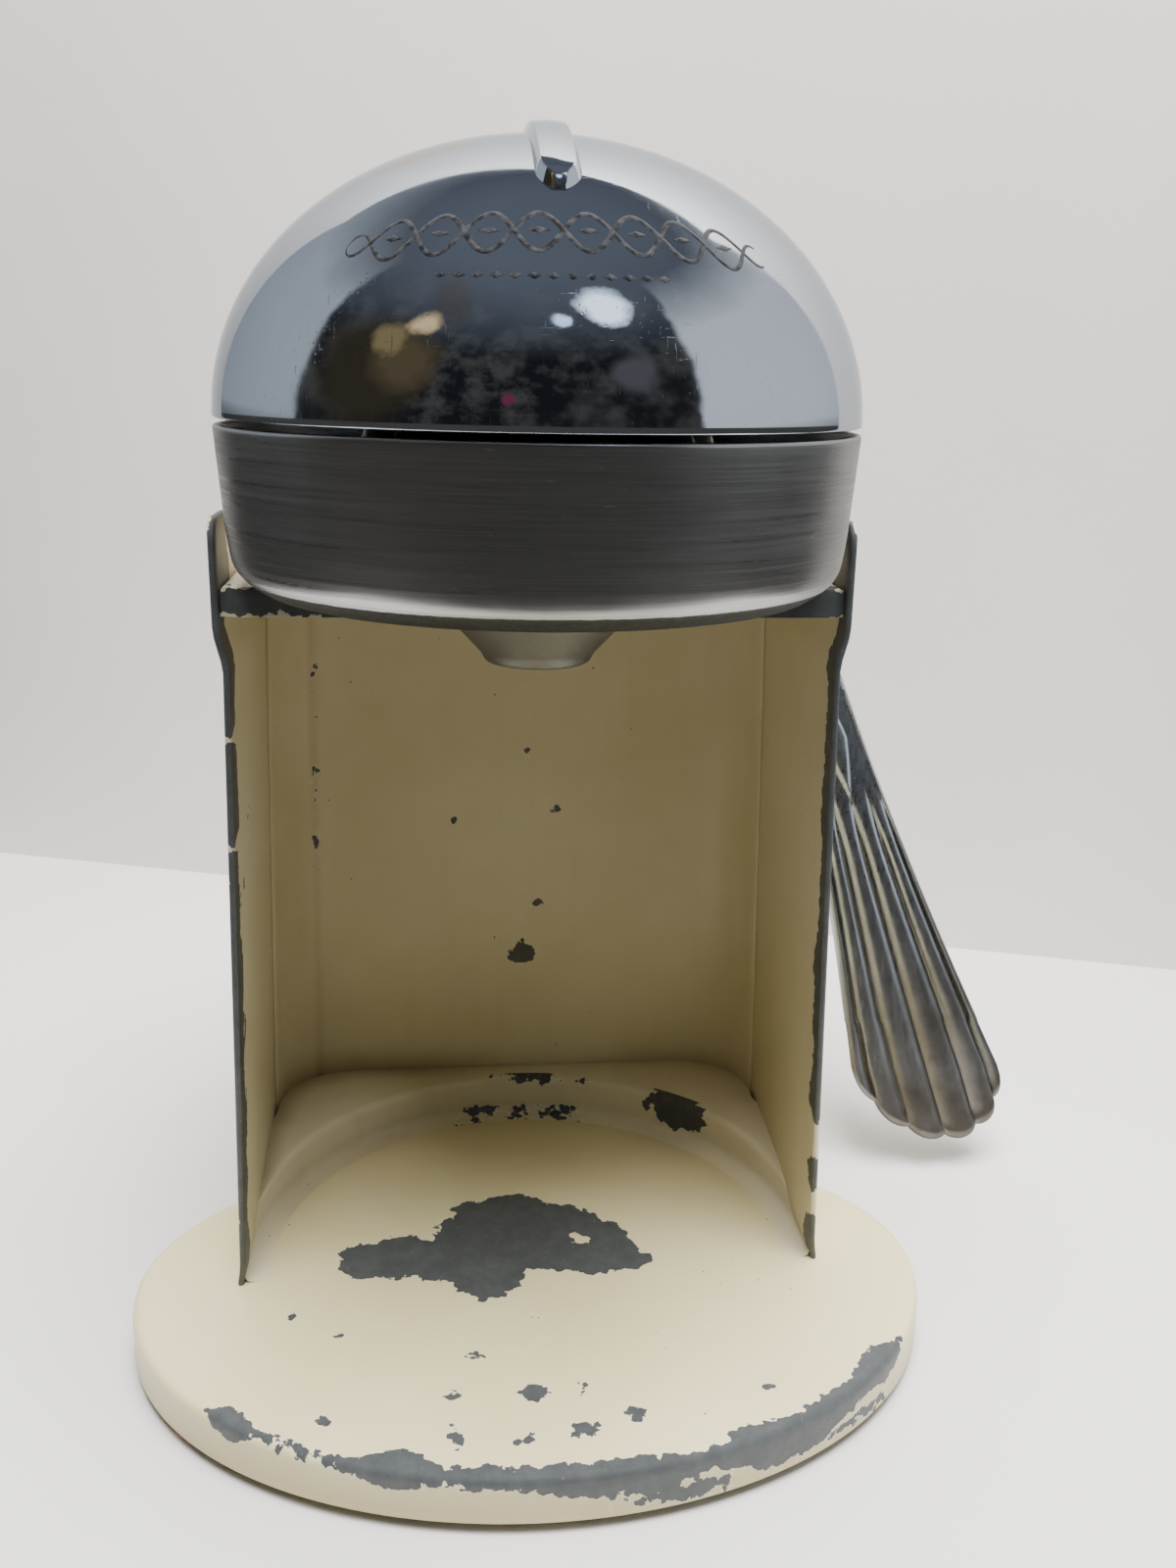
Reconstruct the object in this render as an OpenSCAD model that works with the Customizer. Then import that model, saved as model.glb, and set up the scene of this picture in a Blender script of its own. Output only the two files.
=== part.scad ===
// Lever citrus press: a chromed head on a toothed rack comes down on a cup and
// reamer that stand on an enamelled, open-fronted housing. Millimetres, +Z up.
// Every module is drawn about the axis of the cup; placed() then moves the whole
// press so that the origin is the middle of its footprint, on the table.

/* [Base] */
// Width of the base
base_w = 150.6; // [140:0.2:170]
// Reach of the base in front of the cup axis
base_front = 57.7; // [54:0.1:70]
// Depth of the base's curved rear half behind its widest line
base_back = 46.5; // [40:0.5:60]
// Distance from the cup axis back to the widest line of the base
base_wide_y = -2.3; // [-6:0.1:4]
// Height of the base skirt
skirt_h = 8.6; // [7:0.1:12]
// Gap between skirt and table
foot_gap = 2.2; // [1.5:0.1:4]
// Radius of the base's top edge
base_edge_r = 1.8; // [1:0.1:3]
// Thickness of the base and housing steel
sheet_t = 1.2; // [1:0.1:1.6]
// Lip of the base around the foot of the housing
base_lip = 1.5; // [1:0.1:4]
// Height of the raised step around the floor of the glass bay
step_h = 8; // [5:0.5:10]
// Radius of the round floor of the glass bay
floor_r = 55; // [50:0.5:58]
// Distance of the round floor's centre behind the cup axis
floor_y = 4; // [0:0.5:8]
// Diameter of the rubber feet
foot_d = 15; // [12:0.5:18]
// Distance of the front feet in from the curved edge of the base
front_foot_in = 9.25; // [9:0.25:14]
// Place of the front feet along the base's front half ellipse, in degrees
front_foot_angle = 28; // [20:1:40]
// Distance of the rear feet from the middle line
rear_foot_x = 30; // [26:1:32]
// Distance of the rear feet in from the rear face of the housing
rear_foot_in = 13; // [11:0.5:15]
// Diameter of the studs that hold the feet
stud_d = 4.4; // [3:0.1:5]

/* [Housing] */
// Outside width of the housing below its collar
housing_w = 105.8; // [105.4:0.2:112]
// How much further out each side wall stands at its foot
wall_splay = 2.9; // [0:0.1:4]
// Reach of the side walls in front of the cup axis
housing_front = 4; // [0:0.5:10]
// Gap between the pinion's teeth and the housing's rear wall
pinion_gap = 0.8; // [0.5:0.1:10]
// Radius of the rear corners of the housing
housing_corner_r = 30; // [20:1:34]
// Height of the housing's top edge above the table
housing_top = 155; // [153:0.5:160]
// How far the collar at the top stands out from the walls
collar_flare = 1.4; // [1.2:0.1:3]
// Height of the shoulder below the collar
collar_shoulder_h = 8; // [5:0.5:10]
// Depth of the collar above the shoulder
collar_h = 18; // [14:0.5:22]
// Front face of the back panel behind the cup axis
panel_y = 66; // [64:0.5:67]
// Thickness of the back panel
panel_t = 0.9; // [0.8:0.1:1.2]
// Inside radius of the back panel's corners
panel_r = 14; // [8:1:20]
// Length of the back panel's side flanges in front of its corners
panel_flange = 2; // [1:0.5:12]
// Thickness of the cup shelf
shelf_t = 1.2; // [1:0.1:1.6]
// Height of the cup shelf's upper face
shelf_z = 143.6; // [141:0.1:145]
// Depth of the turned-down edge of the shelf
shelf_edge_h = 5; // [3:0.5:7]
// Radius of the hole for the spout
shelf_hole_r = 30; // [24:1:38]

/* [Cup] */
// Diameter of the cup's rim, the same as the dome's
head_d = 105; // [102:0.5:106]
// How much narrower the cup is above its bottom corner than at its rim
cup_taper = 2.6; // [1:0.2:5]
// Height of the cup from shelf to rim
cup_h = 26.4; // [24:0.2:30]
// How far the edge of the cup's flat bottom lies inside its wall
cup_foot_in = 5.8; // [4:0.2:9]
// Height of the cup's lower corner
cup_corner_h = 7.5; // [5:0.5:9]
// Thickness of the cup wall
cup_t = 1.8; // [1.4:0.1:2.4]
// Height of the cup's flat floor above the shelf, at its wall
cup_floor_h = 3.4; // [2.6:0.1:4]
// Outside radius of the funnel where it leaves the cup's bottom
funnel_r = 19.6; // [17:0.2:22]
// Outside radius of the spout's mouth
spout_r = 9; // [8:0.1:10]
// Length of the funnel and spout below the shelf
spout_drop = 12.9; // [11:0.1:15]
// Radius of the spout's bore
spout_bore_r = 6.5; // [5:0.1:7]
// Radius of the spout's neck, which is set into the cup's floor
spout_neck_r = 13; // [11:0.5:15]
// Height of the strainer plate above the shelf
strainer_h = 9.4; // [9:0.1:12]
// Thickness of the strainer plate
strainer_t = 1; // [0.8:0.1:1.4]
// Radius of the strainer's holes
strainer_hole_r = 1.3; // [0.9:0.1:1.6]
// Gap between the reamer's tip and the presser's crown, with the head down
reamer_tip_gap = 10.2; // [8:0.2:14]
// Gap between the reamer's foot and the presser's wall, for the peel
peel_gap = 6; // [6:0.5:10]
// Height of the reamer's ribs above its cone
reamer_rib_h = 1.8; // [1:0.1:2.2]
// Thickness of the reamer's ribs
reamer_rib_t = 2.4; // [1.8:0.1:3]

/* [Head] */
// Gap between the cup's rim and the dome
seam_gap = 1; // [0.6:0.1:2]
// Height of the dome
dome_h = 43; // [42:0.5:48]
// Thickness of the dome
dome_t = 1.5; // [1.2:0.1:2]
// Width of the raised rib along the top of the dome
rib_w = 6.8; // [5:0.1:9]
// Height of the rib above the dome
rib_h = 1.8; // [1:0.1:2.4]
// Reach of the rib's pointed end in front of the cup axis
rib_front = 36; // [28:0.5:42]
// Gap between the presser's crown and the underside of the dome
presser_crown_gap = 6.8; // [6.4:0.1:7.2]
// Thickness of the presser
presser_t = 1.5; // [1.2:0.1:1.6]
// Gap between the dome's wall and the presser's brim
presser_brim_gap = 4; // [3:0.5:5]
// Width of the presser's brim
presser_brim_w = 9; // [8:0.5:10]
// Depth of the presser's fins
fin_depth = 3; // [2:0.1:3.5]
// Thickness of the head arm
arm_w = 11; // [9:0.2:12]
// Distance of the tilt hinge behind the cup axis
hinge_y = 64.5; // [64:0.1:66]
// Height of the tilt hinge above the cup's rim
hinge_up = 2; // [1:0.1:3]
// Outside radius of the arm's knuckle
knuckle_r = 5.5; // [5:0.1:6]
// Diameter of the hinge pin
hinge_pin_d = 5; // [4:0.1:5.4]

/* [Drive] */
// Tooth module of rack and pinion
tooth_m = 1.4; // [1.2:0.05:1.5]
// Number of teeth on the pinion
pinion_teeth = 12; // [11:1:12]
// Width of the rack bar and its teeth
rack_w = 10; // [8:0.5:11]
// Thickness of the rack bar behind its teeth
rack_t = 4.05; // [3.5:0.05:4.4]
// Play between the teeth, along the rack
backlash = 0.25; // [0.15:0.05:0.4]
// Diameter of the lever's shaft
shaft_d = 9.5; // [8:0.1:10]
// Height of the shaft above the table
shaft_z = 126; // [124:0.5:128]
// Full swing of the lever
lever_swing = 150; // [120:1:150]
// Lowest point of the rack bar
rack_low_z = 66; // [60:1:72]

/* [Lever] */
// Length from the shaft to the middle of the lever's rounded end
lever_len = 107.5; // [90:0.5:110]
// Radius of the lever's rounded end
lever_end_r = 17.6; // [14:0.1:19]
// Half width of the lever at its hub
lever_root_r = 6.2; // [5:0.1:8]
// Sideways lean of the lever, away from the housing, per unit of length
lever_lean = 0.276; // [0.22:0.002:0.3]
// Forward lean of the lever at rest, in degrees
lever_forward = 17.5; // [12:0.5:20]
// Thickness of the lever's blade
lever_t = 5; // [4:0.1:6]
// Number of rounded ends and of the raised bands that lead to them
lever_bands = 6; // [5:1:7]
// Radius of the lever's hub
hub_r = 9; // [8:0.1:10]

/* [Fits] */
// Clearance of a turning shaft in its bore, on the radius
run_fit = 0.06; // [0.03:0.01:0.1]
// Clearance of a fixed pin or stud in its hole, on the radius
seat_fit = 0.03; // [0.01:0.01:0.05]
// Gap between faces that slide past each other
slide_gap = 0.2; // [0.15:0.05:0.3]
// Gap between sheets that lie against each other
lay_gap = 0.1; // [0.05:0.05:0.2]

/* [Hidden] */
$fn = 96;
ELLIPSE_STEPS = 96;
PROFILE_STEPS = 24;
CORNER_STEPS = 12;
EPS = 0.01;

// Heights
base_top = foot_gap + skirt_h;
cup_rim_z = shelf_z + cup_h;
dome_z = cup_rim_z + seam_gap;
hinge_z = cup_rim_z + hinge_up;
strainer_z = shelf_z + strainer_h;
reamer_z = strainer_z + strainer_t;
collar_z = housing_top - collar_h;
shoulder_z = collar_z - collar_shoulder_h;
panel_top = shelf_z - shelf_t - lay_gap;

// Sizes that follow the head
head_r = head_d / 2;
cup_low_d = head_d - cup_taper;
cup_foot_r = cup_low_d / 2 - cup_foot_in;
presser_brim_r = head_r - dome_t - presser_brim_gap;
presser_r = presser_brim_r - presser_brim_w;
presser_h = dome_h - dome_t - presser_crown_gap - presser_t - slide_gap;
reamer_r = presser_r - peel_gap;
reamer_h = dome_z + slide_gap + presser_h - reamer_tip_gap - reamer_z;

// Feet and screws of the base
stud_top = base_top - sheet_t;
stud_low = foot_gap + 1.8;
base_screw_r = 2;
base_screw_head_r = 3.6;
base_screw_head_h = 2;
base_screw_in = 8;
base_screw_x = 12;

// Inside of the cup: a floor that falls towards the spout, a cove, and a ledge for the strainer
cup_inner_r = cup_low_d / 2 - cup_t;
cup_cove = 6;
cup_ledge_w = 2;
cup_floor_fall = 1.6;
strainer_gap = 0.6;
STRAINER_RINGS = [for (inset = [14.6, 11, 7.4, 4]) cup_inner_r - inset];
rivet_r = 2;
rivet_depth = 5;

// Rack and pinion: the rack stands just behind the back panel, the pinion behind it
rack_y = panel_y + panel_t + 1.5 + slide_gap;
pitch_r = tooth_m * pinion_teeth / 2;
tooth_up = 1.0 * tooth_m;
rack_up = 0.7 * tooth_m;
tooth_down = 1.25 * tooth_m;
rack_root_y = rack_y + rack_t;
pitch_y = rack_root_y + tooth_down;
shaft_y = pitch_y + pitch_r;
pitch = PI * tooth_m;
lift = pitch_r * lever_swing * PI / 180;
rack_teeth = ceil(lift / pitch) + 3;
rack_teeth_top = shaft_z + 1.5 * pitch;
tooth_gap_y = pitch_y + rack_up;
pressure_angle = 20;
pinion_hub_r = 6.8;
pinion_pin_r = 1.1;
yoke_screw_r = 1.6;

// Plan of the housing: its side walls lean out towards their feet
wall_out = housing_w / 2;
wall_in = wall_out - sheet_t;
foot_out = wall_out + wall_splay;
foot_in = wall_in + wall_splay;
collar_out = wall_out + collar_flare;
housing_rear = shaft_y + pitch_r + tooth_up + pinion_gap + sheet_t;
housing_corner_y = housing_rear - housing_corner_r;

// Places along the shaft
pinion_half = rack_w / 2 - 0.6;
yoke_in = rack_w / 2 + 4;
yoke_t = 2.5;
yoke_out = yoke_in + yoke_t;
bush_r = 6.4;
bush_flange_t = 1.4;
bush_out = wall_out + slide_gap + bush_flange_t;
hub_in = max(bush_out, collar_out) + slide_gap + 0.6;
blade_in = 10.6;
hub_beyond = 9;
lever_x = hub_in + blade_in;
hub_out = lever_x + hub_beyond;
shaft_collar_w = 3.2;
shaft_collar_wall = 3;
shaft_end = 1.6;
shaft_left = -yoke_out - slide_gap - shaft_collar_w - shaft_end;
shaft_right = hub_out - 1.5;
shaft_r = shaft_d / 2;
screw_r = 2.4;
screw_depth = 8;
screw_head_r = 5;
washer_t = 0.8;

// Hinge of the head
block_half = arm_w / 2 + 0.3;
ear_t = 3;
block_out = block_half + ear_t;
block_z = hinge_z - 15;
block_floor = hinge_z - knuckle_r - 2;
hinge_pin_r = hinge_pin_d / 2;
rack_pin_r = 1.3;
rack_pin_z = block_z + 3.6;

// Presser and its boss in the dome, and the pad that rivets the arm to the dome
presser_z = dome_z + slide_gap;
presser_top = presser_z + presser_h + presser_t;
boss_r = 5;
presser_screw_r = 2;
arm_low = dome_z + 0.4;
arm_pad_h = 24.4;
arm_pad_t = 1.6;
arm_pad_top = 25;
arm_pad_half = 9;
arm_rivet_r = 1.3;
arm_rivet_x = 5.6;
arm_rivet_z = dome_z + 17;
arm_rivet_head_r = 2.4;
arm_rivet_head_h = 1.6;
arm_rivet_seat = (head_r + arm_pad_t) * sqrt(1 - pow((arm_rivet_z - dome_z) / (dome_h + arm_pad_t), 2)
                                             - pow(arm_rivet_x / (head_r + arm_pad_t), 2)) - 0.5;

// Middle of the footprint: the base and the lever set its width, the base its depth
lever_reach = lever_x + lever_lean * lever_len + lever_end_r;
mid_x = (lever_reach - base_w / 2) / 2;
mid_y = (housing_rear + base_lip - base_front) / 2;

front_foot = [(base_w / 2 - front_foot_in) * cos(front_foot_angle),
              base_wide_y - (base_front + base_wide_y - front_foot_in) * sin(front_foot_angle)];
FOOT_PLACES = [for (sx = [-1, 1], p = [front_foot, [rear_foot_x, housing_rear - rear_foot_in]])
               [sx * p[0], p[1]]];
BASE_SCREW_PLACES = [for (sx = [-1, 1], p = [[foot_in - base_screw_in, panel_y + base_screw_in],
                                         [base_screw_x, housing_rear - 6.5]])
                     [sx * p[0], p[1]]];
YOKE_SCREW_PLACES = [for (sx = [-1, 1], y = [panel_y + 4, shaft_y + 5])
                     [sx * (yoke_out + 4), y]];

CREAM = [0.87, 0.83, 0.72];
CHROME = [0.72, 0.76, 0.82];
STEEL = [0.56, 0.57, 0.58];
ALUMINIUM = [0.66, 0.66, 0.65];
BRASS = [0.71, 0.58, 0.30];
RUBBER_RED = [0.50, 0.16, 0.12];

// ---- Shared shapes ----

// How far the side walls have leaned out at height z
function splay_at(z) = wall_splay * (shoulder_z - z) / (shoulder_z - base_top);

// Half ellipses, one in front of and one behind the widest line of the base
function base_points(inset) = [
    for (i = [0 : ELLIPSE_STEPS - 1])
        let (a = 360 * i / ELLIPSE_STEPS, depth = sin(a) < 0 ? base_front + base_wide_y : base_back)
        [(base_w / 2 - inset) * cos(a), base_wide_y + (depth - inset) * sin(a)]
];

// Outline of a rectangle from y0 back to y1 whose two rear corners are round
function u_points(half_w, y0, y1, r) = concat(
    [[-half_w, y0], [half_w, y0]],
    [for (i = [0 : CORNER_STEPS]) let (a = 90 * i / CORNER_STEPS)
        [half_w - r + r * cos(a), y1 - r + r * sin(a)]],
    [for (i = [0 : CORNER_STEPS]) let (a = 90 + 90 * i / CORNER_STEPS)
        [-half_w + r + r * cos(a), y1 - r + r * sin(a)]]
);

module u_plan(half_w, y0, y1, r) {
    polygon(u_points(half_w, y0, y1, r));
}

// The solid between two outlines with as many points, low at z0 and high at z1
module taper(low, high, z0, z1) {
    n = len(low);
    polyhedron(
        points = concat([for (p = low) [p[0], p[1], z0]], [for (p = high) [p[0], p[1], z1]]),
        faces = concat([[for (i = [0 : n - 1]) i]], [[for (i = [n - 1 : -1 : 0]) n + i]],
                       [for (i = [0 : n - 1]) [i, n + i, n + (i + 1) % n, (i + 1) % n]])
    );
}

// Outline of the housing, grown all round, with its side walls spread further apart
function housing_points(grow, spread = 0) =
    u_points(wall_out + grow + spread, -housing_front, housing_rear + grow, housing_corner_r + grow);

// Its hollow, which runs out through the open front
function hollow_points(grow, spread = 0) =
    u_points(wall_in + grow + spread, -housing_front - 1, housing_rear - sheet_t + grow,
             housing_corner_r - sheet_t + grow);

// A cylinder along X from x0 to x1 through [y, z]
module x_bar(x0, x1, r, y, z) {
    translate([x0, y, z]) rotate([0, 90, 0]) cylinder(h = x1 - x0, r = r);
}

module x_ring(x0, x1, r_out, r_in, y, z) {
    difference() {
        x_bar(x0, x1, r_out, y, z);
        x_bar(x0 - 1, x1 + 1, r_in, y, z);
    }
}

// Quarter ellipse as a solid of revolution, r wide and h high, standing on z
module dome_solid(r, h, z) {
    translate([0, 0, z]) rotate_extrude()
        polygon(concat([[0, 0]], [for (i = [0 : PROFILE_STEPS])
            let (a = 90 * i / PROFILE_STEPS) [i == PROFILE_STEPS ? 0 : r * cos(a), h * sin(a)]]));
}

// A screw that points upwards: its head below z, its shank above
module upward_screw(p, z, head_r, head_h, shank_r, shank_h) {
    translate([p[0], p[1], z - head_h]) cylinder(h = head_h, r = head_r);
    translate([p[0], p[1], z - EPS]) cylinder(h = shank_h + EPS, r = shank_r);
}

// ---- Base and housing ----

module base_plan(inset) {
    polygon(base_points(inset));
    u_plan(foot_out + base_lip - inset, 0, housing_rear + base_lip - inset,
           housing_corner_r + base_lip - inset);
}

// The strip between the round floor and the back panel
module step_plan(inset) {
    difference() {
        u_plan(wall_in + splay_at(base_top + step_h) - panel_t - 2 * lay_gap - inset, floor_y, panel_y - lay_gap - inset,
               panel_r - inset);
        translate([0, floor_y]) circle(floor_r + inset);
    }
}

module base() {
    edge_steps = 3;
    color(CREAM) difference() {
        union() {
            translate([0, 0, foot_gap]) linear_extrude(skirt_h - base_edge_r) base_plan(0);
            for (i = [1 : edge_steps]) {
                a = 90 * (i - 0.5) / edge_steps;
                translate([0, 0, foot_gap])
                    linear_extrude(skirt_h - base_edge_r + base_edge_r * sin(90 * i / edge_steps))
                        base_plan(base_edge_r * (1 - cos(a)));
            }
            translate([0, 0, base_top - EPS]) linear_extrude(step_h + EPS) step_plan(0);
        }
        translate([0, 0, foot_gap - 1]) linear_extrude(skirt_h - sheet_t + 1) base_plan(sheet_t);
        translate([0, 0, base_top - sheet_t - 1]) linear_extrude(step_h + 1) step_plan(sheet_t);
        base_screw_holes();
    }
}

module base_screw_holes() {
    for (p = BASE_SCREW_PLACES)
        translate([p[0], p[1], 0]) cylinder(h = 2 * base_top, r = base_screw_r + seat_fit);
}

module rubber_feet() {
    color(RUBBER_RED) for (p = FOOT_PLACES) translate([p[0], p[1], 0]) difference() {
        union() {
            cylinder(h = foot_gap + 1, r = foot_d / 2);
            cylinder(h = stud_top - lay_gap, r = foot_d / 2 - 1.5);
        }
        translate([0, 0, stud_low - seat_fit]) cylinder(h = stud_top, r = stud_d / 2 + seat_fit);
    }
}

module foot_studs() {
    color(STEEL) for (p = FOOT_PLACES) translate([p[0], p[1], stud_low])
        cylinder(h = stud_top - stud_low, r = stud_d / 2);
}

module housing() {
    shoulder_steps = 4;
    flange_w = 16;
    color(CREAM) difference() {
        union() {
            taper(housing_points(0, wall_splay), housing_points(0), base_top, shoulder_z);
            for (i = [1 : shoulder_steps]) {
                z = shoulder_z + (i - 1) * collar_shoulder_h / shoulder_steps;
                translate([0, 0, z]) linear_extrude(housing_top - z)
                    polygon(housing_points(collar_flare * i / shoulder_steps));
            }
        }
        difference() {
            taper(hollow_points(0, wall_splay), hollow_points(0), base_top - EPS, shoulder_z);
            housing_foot_flange(flange_w);
        }
        translate([0, 0, shoulder_z - EPS]) linear_extrude(housing_top) polygon(hollow_points(0));
        for (i = [1 : shoulder_steps]) {
            z = shoulder_z + (i - 0.5) * collar_shoulder_h / shoulder_steps;
            translate([0, 0, z]) linear_extrude(housing_top)
                polygon(hollow_points(collar_flare * i / shoulder_steps));
        }
        x_bar(0, 2 * wall_out, bush_r + seat_fit, shaft_y, shaft_z);
        base_screw_holes();
    }
}

// Flange at the foot of the rear walls, turned inwards behind the back panel
module housing_foot_flange(flange_w) {
    translate([0, 0, base_top - 2]) linear_extrude(sheet_t + 2) difference() {
        translate([-foot_out, panel_y + panel_t + 1]) square([2 * foot_out, housing_rear]);
        u_plan(foot_in - flange_w, 0, housing_rear - sheet_t - flange_w,
               housing_corner_r - sheet_t - flange_w);
    }
}

module base_screws() {
    color(STEEL) for (p = BASE_SCREW_PLACES)
        upward_screw(p, base_top - sheet_t, base_screw_head_r, base_screw_head_h, base_screw_r, 2 * sheet_t + 3);
}

function panel_points(grow, spread = 0) =
    let (front = panel_y - panel_r - panel_flange)
    u_points(wall_in - lay_gap - panel_t + grow + spread, grow > 0 ? front : front - 1,
             panel_y + grow, panel_r + grow);

// The solid bounded by the panel's front face, or by its rear face when grown by its thickness
module panel_solid(grow, z0, z1) {
    taper(panel_points(grow, wall_splay), panel_points(grow), z0, shoulder_z);
    translate([0, 0, shoulder_z - EPS]) linear_extrude(z1 - shoulder_z + EPS) polygon(panel_points(grow));
}

module back_panel() {
    color(CREAM) difference() {
        panel_solid(panel_t, base_top, panel_top);
        panel_solid(0, base_top - EPS, panel_top + 1);
    }
}

// Slot in shelf and yoke that the rack bar passes through
module rack_slot(gap) {
    translate([-rack_w / 2 - gap, rack_y - gap, 0])
        cube([rack_w + 2 * gap, tooth_gap_y - rack_y + 2 * gap, 4 * housing_top]);
}

module cup_shelf() {
    color(CREAM) difference() {
        translate([0, 0, shelf_z - shelf_edge_h]) linear_extrude(shelf_edge_h) shelf_plan(lay_gap);
        translate([0, shelf_t, shelf_z - shelf_edge_h - 1]) linear_extrude(shelf_edge_h - shelf_t + 1)
            shelf_plan(lay_gap + shelf_t);
        translate([0, 0, shelf_z - 20]) cylinder(h = 40, r = shelf_hole_r);
        rack_slot(1);
        for (p = YOKE_SCREW_PLACES)
            translate([p[0], p[1], 0]) cylinder(h = 2 * shelf_z, r = yoke_screw_r + seat_fit);
    }
}

// Plan of the hollow inside the collar, drawn in by a gap, with its front edge set back
module shelf_plan(gap) {
    u_plan(wall_in + collar_flare - gap, -housing_front + 1, housing_rear - sheet_t + collar_flare - gap,
           housing_corner_r - sheet_t + collar_flare - gap);
}

// ---- Drive ----

module gear_yoke() {
    web_t = 2.6;
    web_reach = 8;
    cheek_edge = 5;
    web_top = shelf_z - shelf_t - lay_gap;
    low_z = shaft_z - shaft_r - cheek_edge;
    front = panel_y + panel_t + lay_gap;
    back = shaft_y + shaft_r + cheek_edge;
    color(STEEL) difference() {
        union() {
            for (sx = [-1, 1]) translate([sx * (yoke_in + yoke_t / 2) - yoke_t / 2, front, low_z])
                cube([yoke_t, back - front, web_top - low_z]);
            translate([-yoke_out - web_reach, front, web_top - web_t])
                cube([2 * (yoke_out + web_reach), back - front, web_t]);
        }
        x_bar(-wall_out, wall_out, shaft_r + run_fit, shaft_y, shaft_z);
        rack_slot(slide_gap);
        for (p = YOKE_SCREW_PLACES)
            translate([p[0], p[1], 0]) cylinder(h = 2 * shelf_z, r = yoke_screw_r + seat_fit);
    }
}

module yoke_screws() {
    head_h = 1.8;
    head_r = 3;
    length = 7;
    slot_w = 0.8;
    color(STEEL) for (p = YOKE_SCREW_PLACES) difference() {
        union() {
            translate([p[0], p[1], shelf_z]) cylinder(h = head_h, r = head_r);
            translate([p[0], p[1], shelf_z - length]) cylinder(h = length + EPS, r = yoke_screw_r);
        }
        translate([p[0] - 2 * head_r, p[1] - slot_w / 2, shelf_z + head_h - slot_w])
            cube([4 * head_r, slot_w, head_h]);
    }
}

module rack_guide() {
    guide_t = 1.2;
    below_rack = 4;
    below_pinion = 10;
    low = rack_low_z - below_rack;
    high = shaft_z - pitch_r - tooth_up - below_pinion;
    front = panel_y + panel_t + lay_gap;
    color(STEEL) difference() {
        translate([-rack_w / 2 - slide_gap - guide_t, front, low])
            cube([rack_w + 2 * (slide_gap + guide_t), tooth_gap_y + slide_gap + guide_t - front, high - low]);
        rack_slot(slide_gap);
    }
}

module wall_bush() {
    inner = wall_in - 2;
    flange_w = 2.4;
    color(BRASS) difference() {
        union() {
            x_bar(inner, bush_out - EPS, bush_r, shaft_y, shaft_z);
            x_bar(bush_out - bush_flange_t, bush_out, bush_r + flange_w, shaft_y, shaft_z);
        }
        x_bar(inner - 1, bush_out + 1, shaft_r + run_fit, shaft_y, shaft_z);
    }
}

// Involute of the base circle at roll angle t, in degrees
function involute(rb, t) = [rb * (cos(t) + t * PI / 180 * sin(t)), rb * (sin(t) - t * PI / 180 * cos(t))];
function turned(p, a) = [p[0] * cos(a) - p[1] * sin(a), p[0] * sin(a) + p[1] * cos(a)];

module pinion_plan() {
    rb = pitch_r * cos(pressure_angle);
    root = pitch_r - rack_up - 0.3 * tooth_m;
    tip = pitch_r + tooth_up;
    t_pitch = sqrt(pow(pitch_r / rb, 2) - 1) * 180 / PI;
    t_tip = sqrt(pow(tip / rb, 2) - 1) * 180 / PI;
    p_pitch = involute(rb, t_pitch);
    half = (pitch / 2 - backlash) / pitch_r / 2 * 180 / PI + atan2(p_pitch[1], p_pitch[0]);
    flank_steps = 6;
    circle(root);
    for (k = [0 : pinion_teeth - 1]) rotate(360 * k / pinion_teeth) polygon(concat(
        [[0, 0]],
        [for (i = [0 : flank_steps]) turned(involute(rb, t_tip * i / flank_steps), -half)],
        [for (i = [flank_steps : -1 : 0])
            let (q = involute(rb, t_tip * i / flank_steps)) turned([q[0], -q[1]], half)]
    ));
}

module pinion_pin_hole(r) {
    translate([pinion_half + 2, shaft_y, shaft_z])
        cylinder(h = 2 * pinion_hub_r - 1, r = r, center = true);
}

// A tooth points straight at the rack when the lever is at rest
module pinion() {
    color(STEEL) difference() {
        union() {
            translate([-pinion_half, shaft_y, shaft_z]) rotate([90, 0, 90])
                linear_extrude(2 * pinion_half) rotate(180) pinion_plan();
            x_bar(-yoke_in + slide_gap, yoke_in - slide_gap, pinion_hub_r, shaft_y, shaft_z);
        }
        x_bar(-wall_out, wall_out, shaft_r + seat_fit, shaft_y, shaft_z);
        pinion_pin_hole(pinion_pin_r + seat_fit);
    }
}

module pinion_pin() {
    color(STEEL) pinion_pin_hole(pinion_pin_r);
}

module rack() {
    flank = tan(pressure_angle);
    half_root = (pitch / 2 - backlash) / 2 + tooth_down * flank;
    half_tip = (pitch / 2 - backlash) / 2 - rack_up * flank;
    color(STEEL) difference() {
        union() {
            translate([-rack_w / 2, rack_y, rack_low_z])
                cube([rack_w, rack_t, block_floor - lay_gap - rack_low_z]);
            // the pinion's tooth stands in the gap between two of these teeth
            for (k = [0 : rack_teeth - 1])
                translate([-rack_w / 2, rack_root_y, rack_teeth_top - k * pitch]) rotate([90, 0, 90])
                    linear_extrude(rack_w) polygon([[-EPS, -half_root], [tooth_down + rack_up, -half_tip],
                                                    [tooth_down + rack_up, half_tip], [-EPS, half_root]]);
        }
        rack_pin_hole(rack_pin_r + seat_fit);
    }
}

module rack_pin_hole(r) {
    x_bar(-block_out, block_out, r, rack_y + rack_t / 2, rack_pin_z);
}

module rack_pin() {
    color(STEEL) rack_pin_hole(rack_pin_r);
}

module lever_shaft() {
    color(STEEL) difference() {
        x_bar(shaft_left, shaft_right, shaft_r, shaft_y, shaft_z);
        pinion_pin_hole(pinion_pin_r + seat_fit);
        x_bar(shaft_right - screw_depth - 1, shaft_right + 1, screw_r + seat_fit, shaft_y, shaft_z);
    }
}

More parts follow.
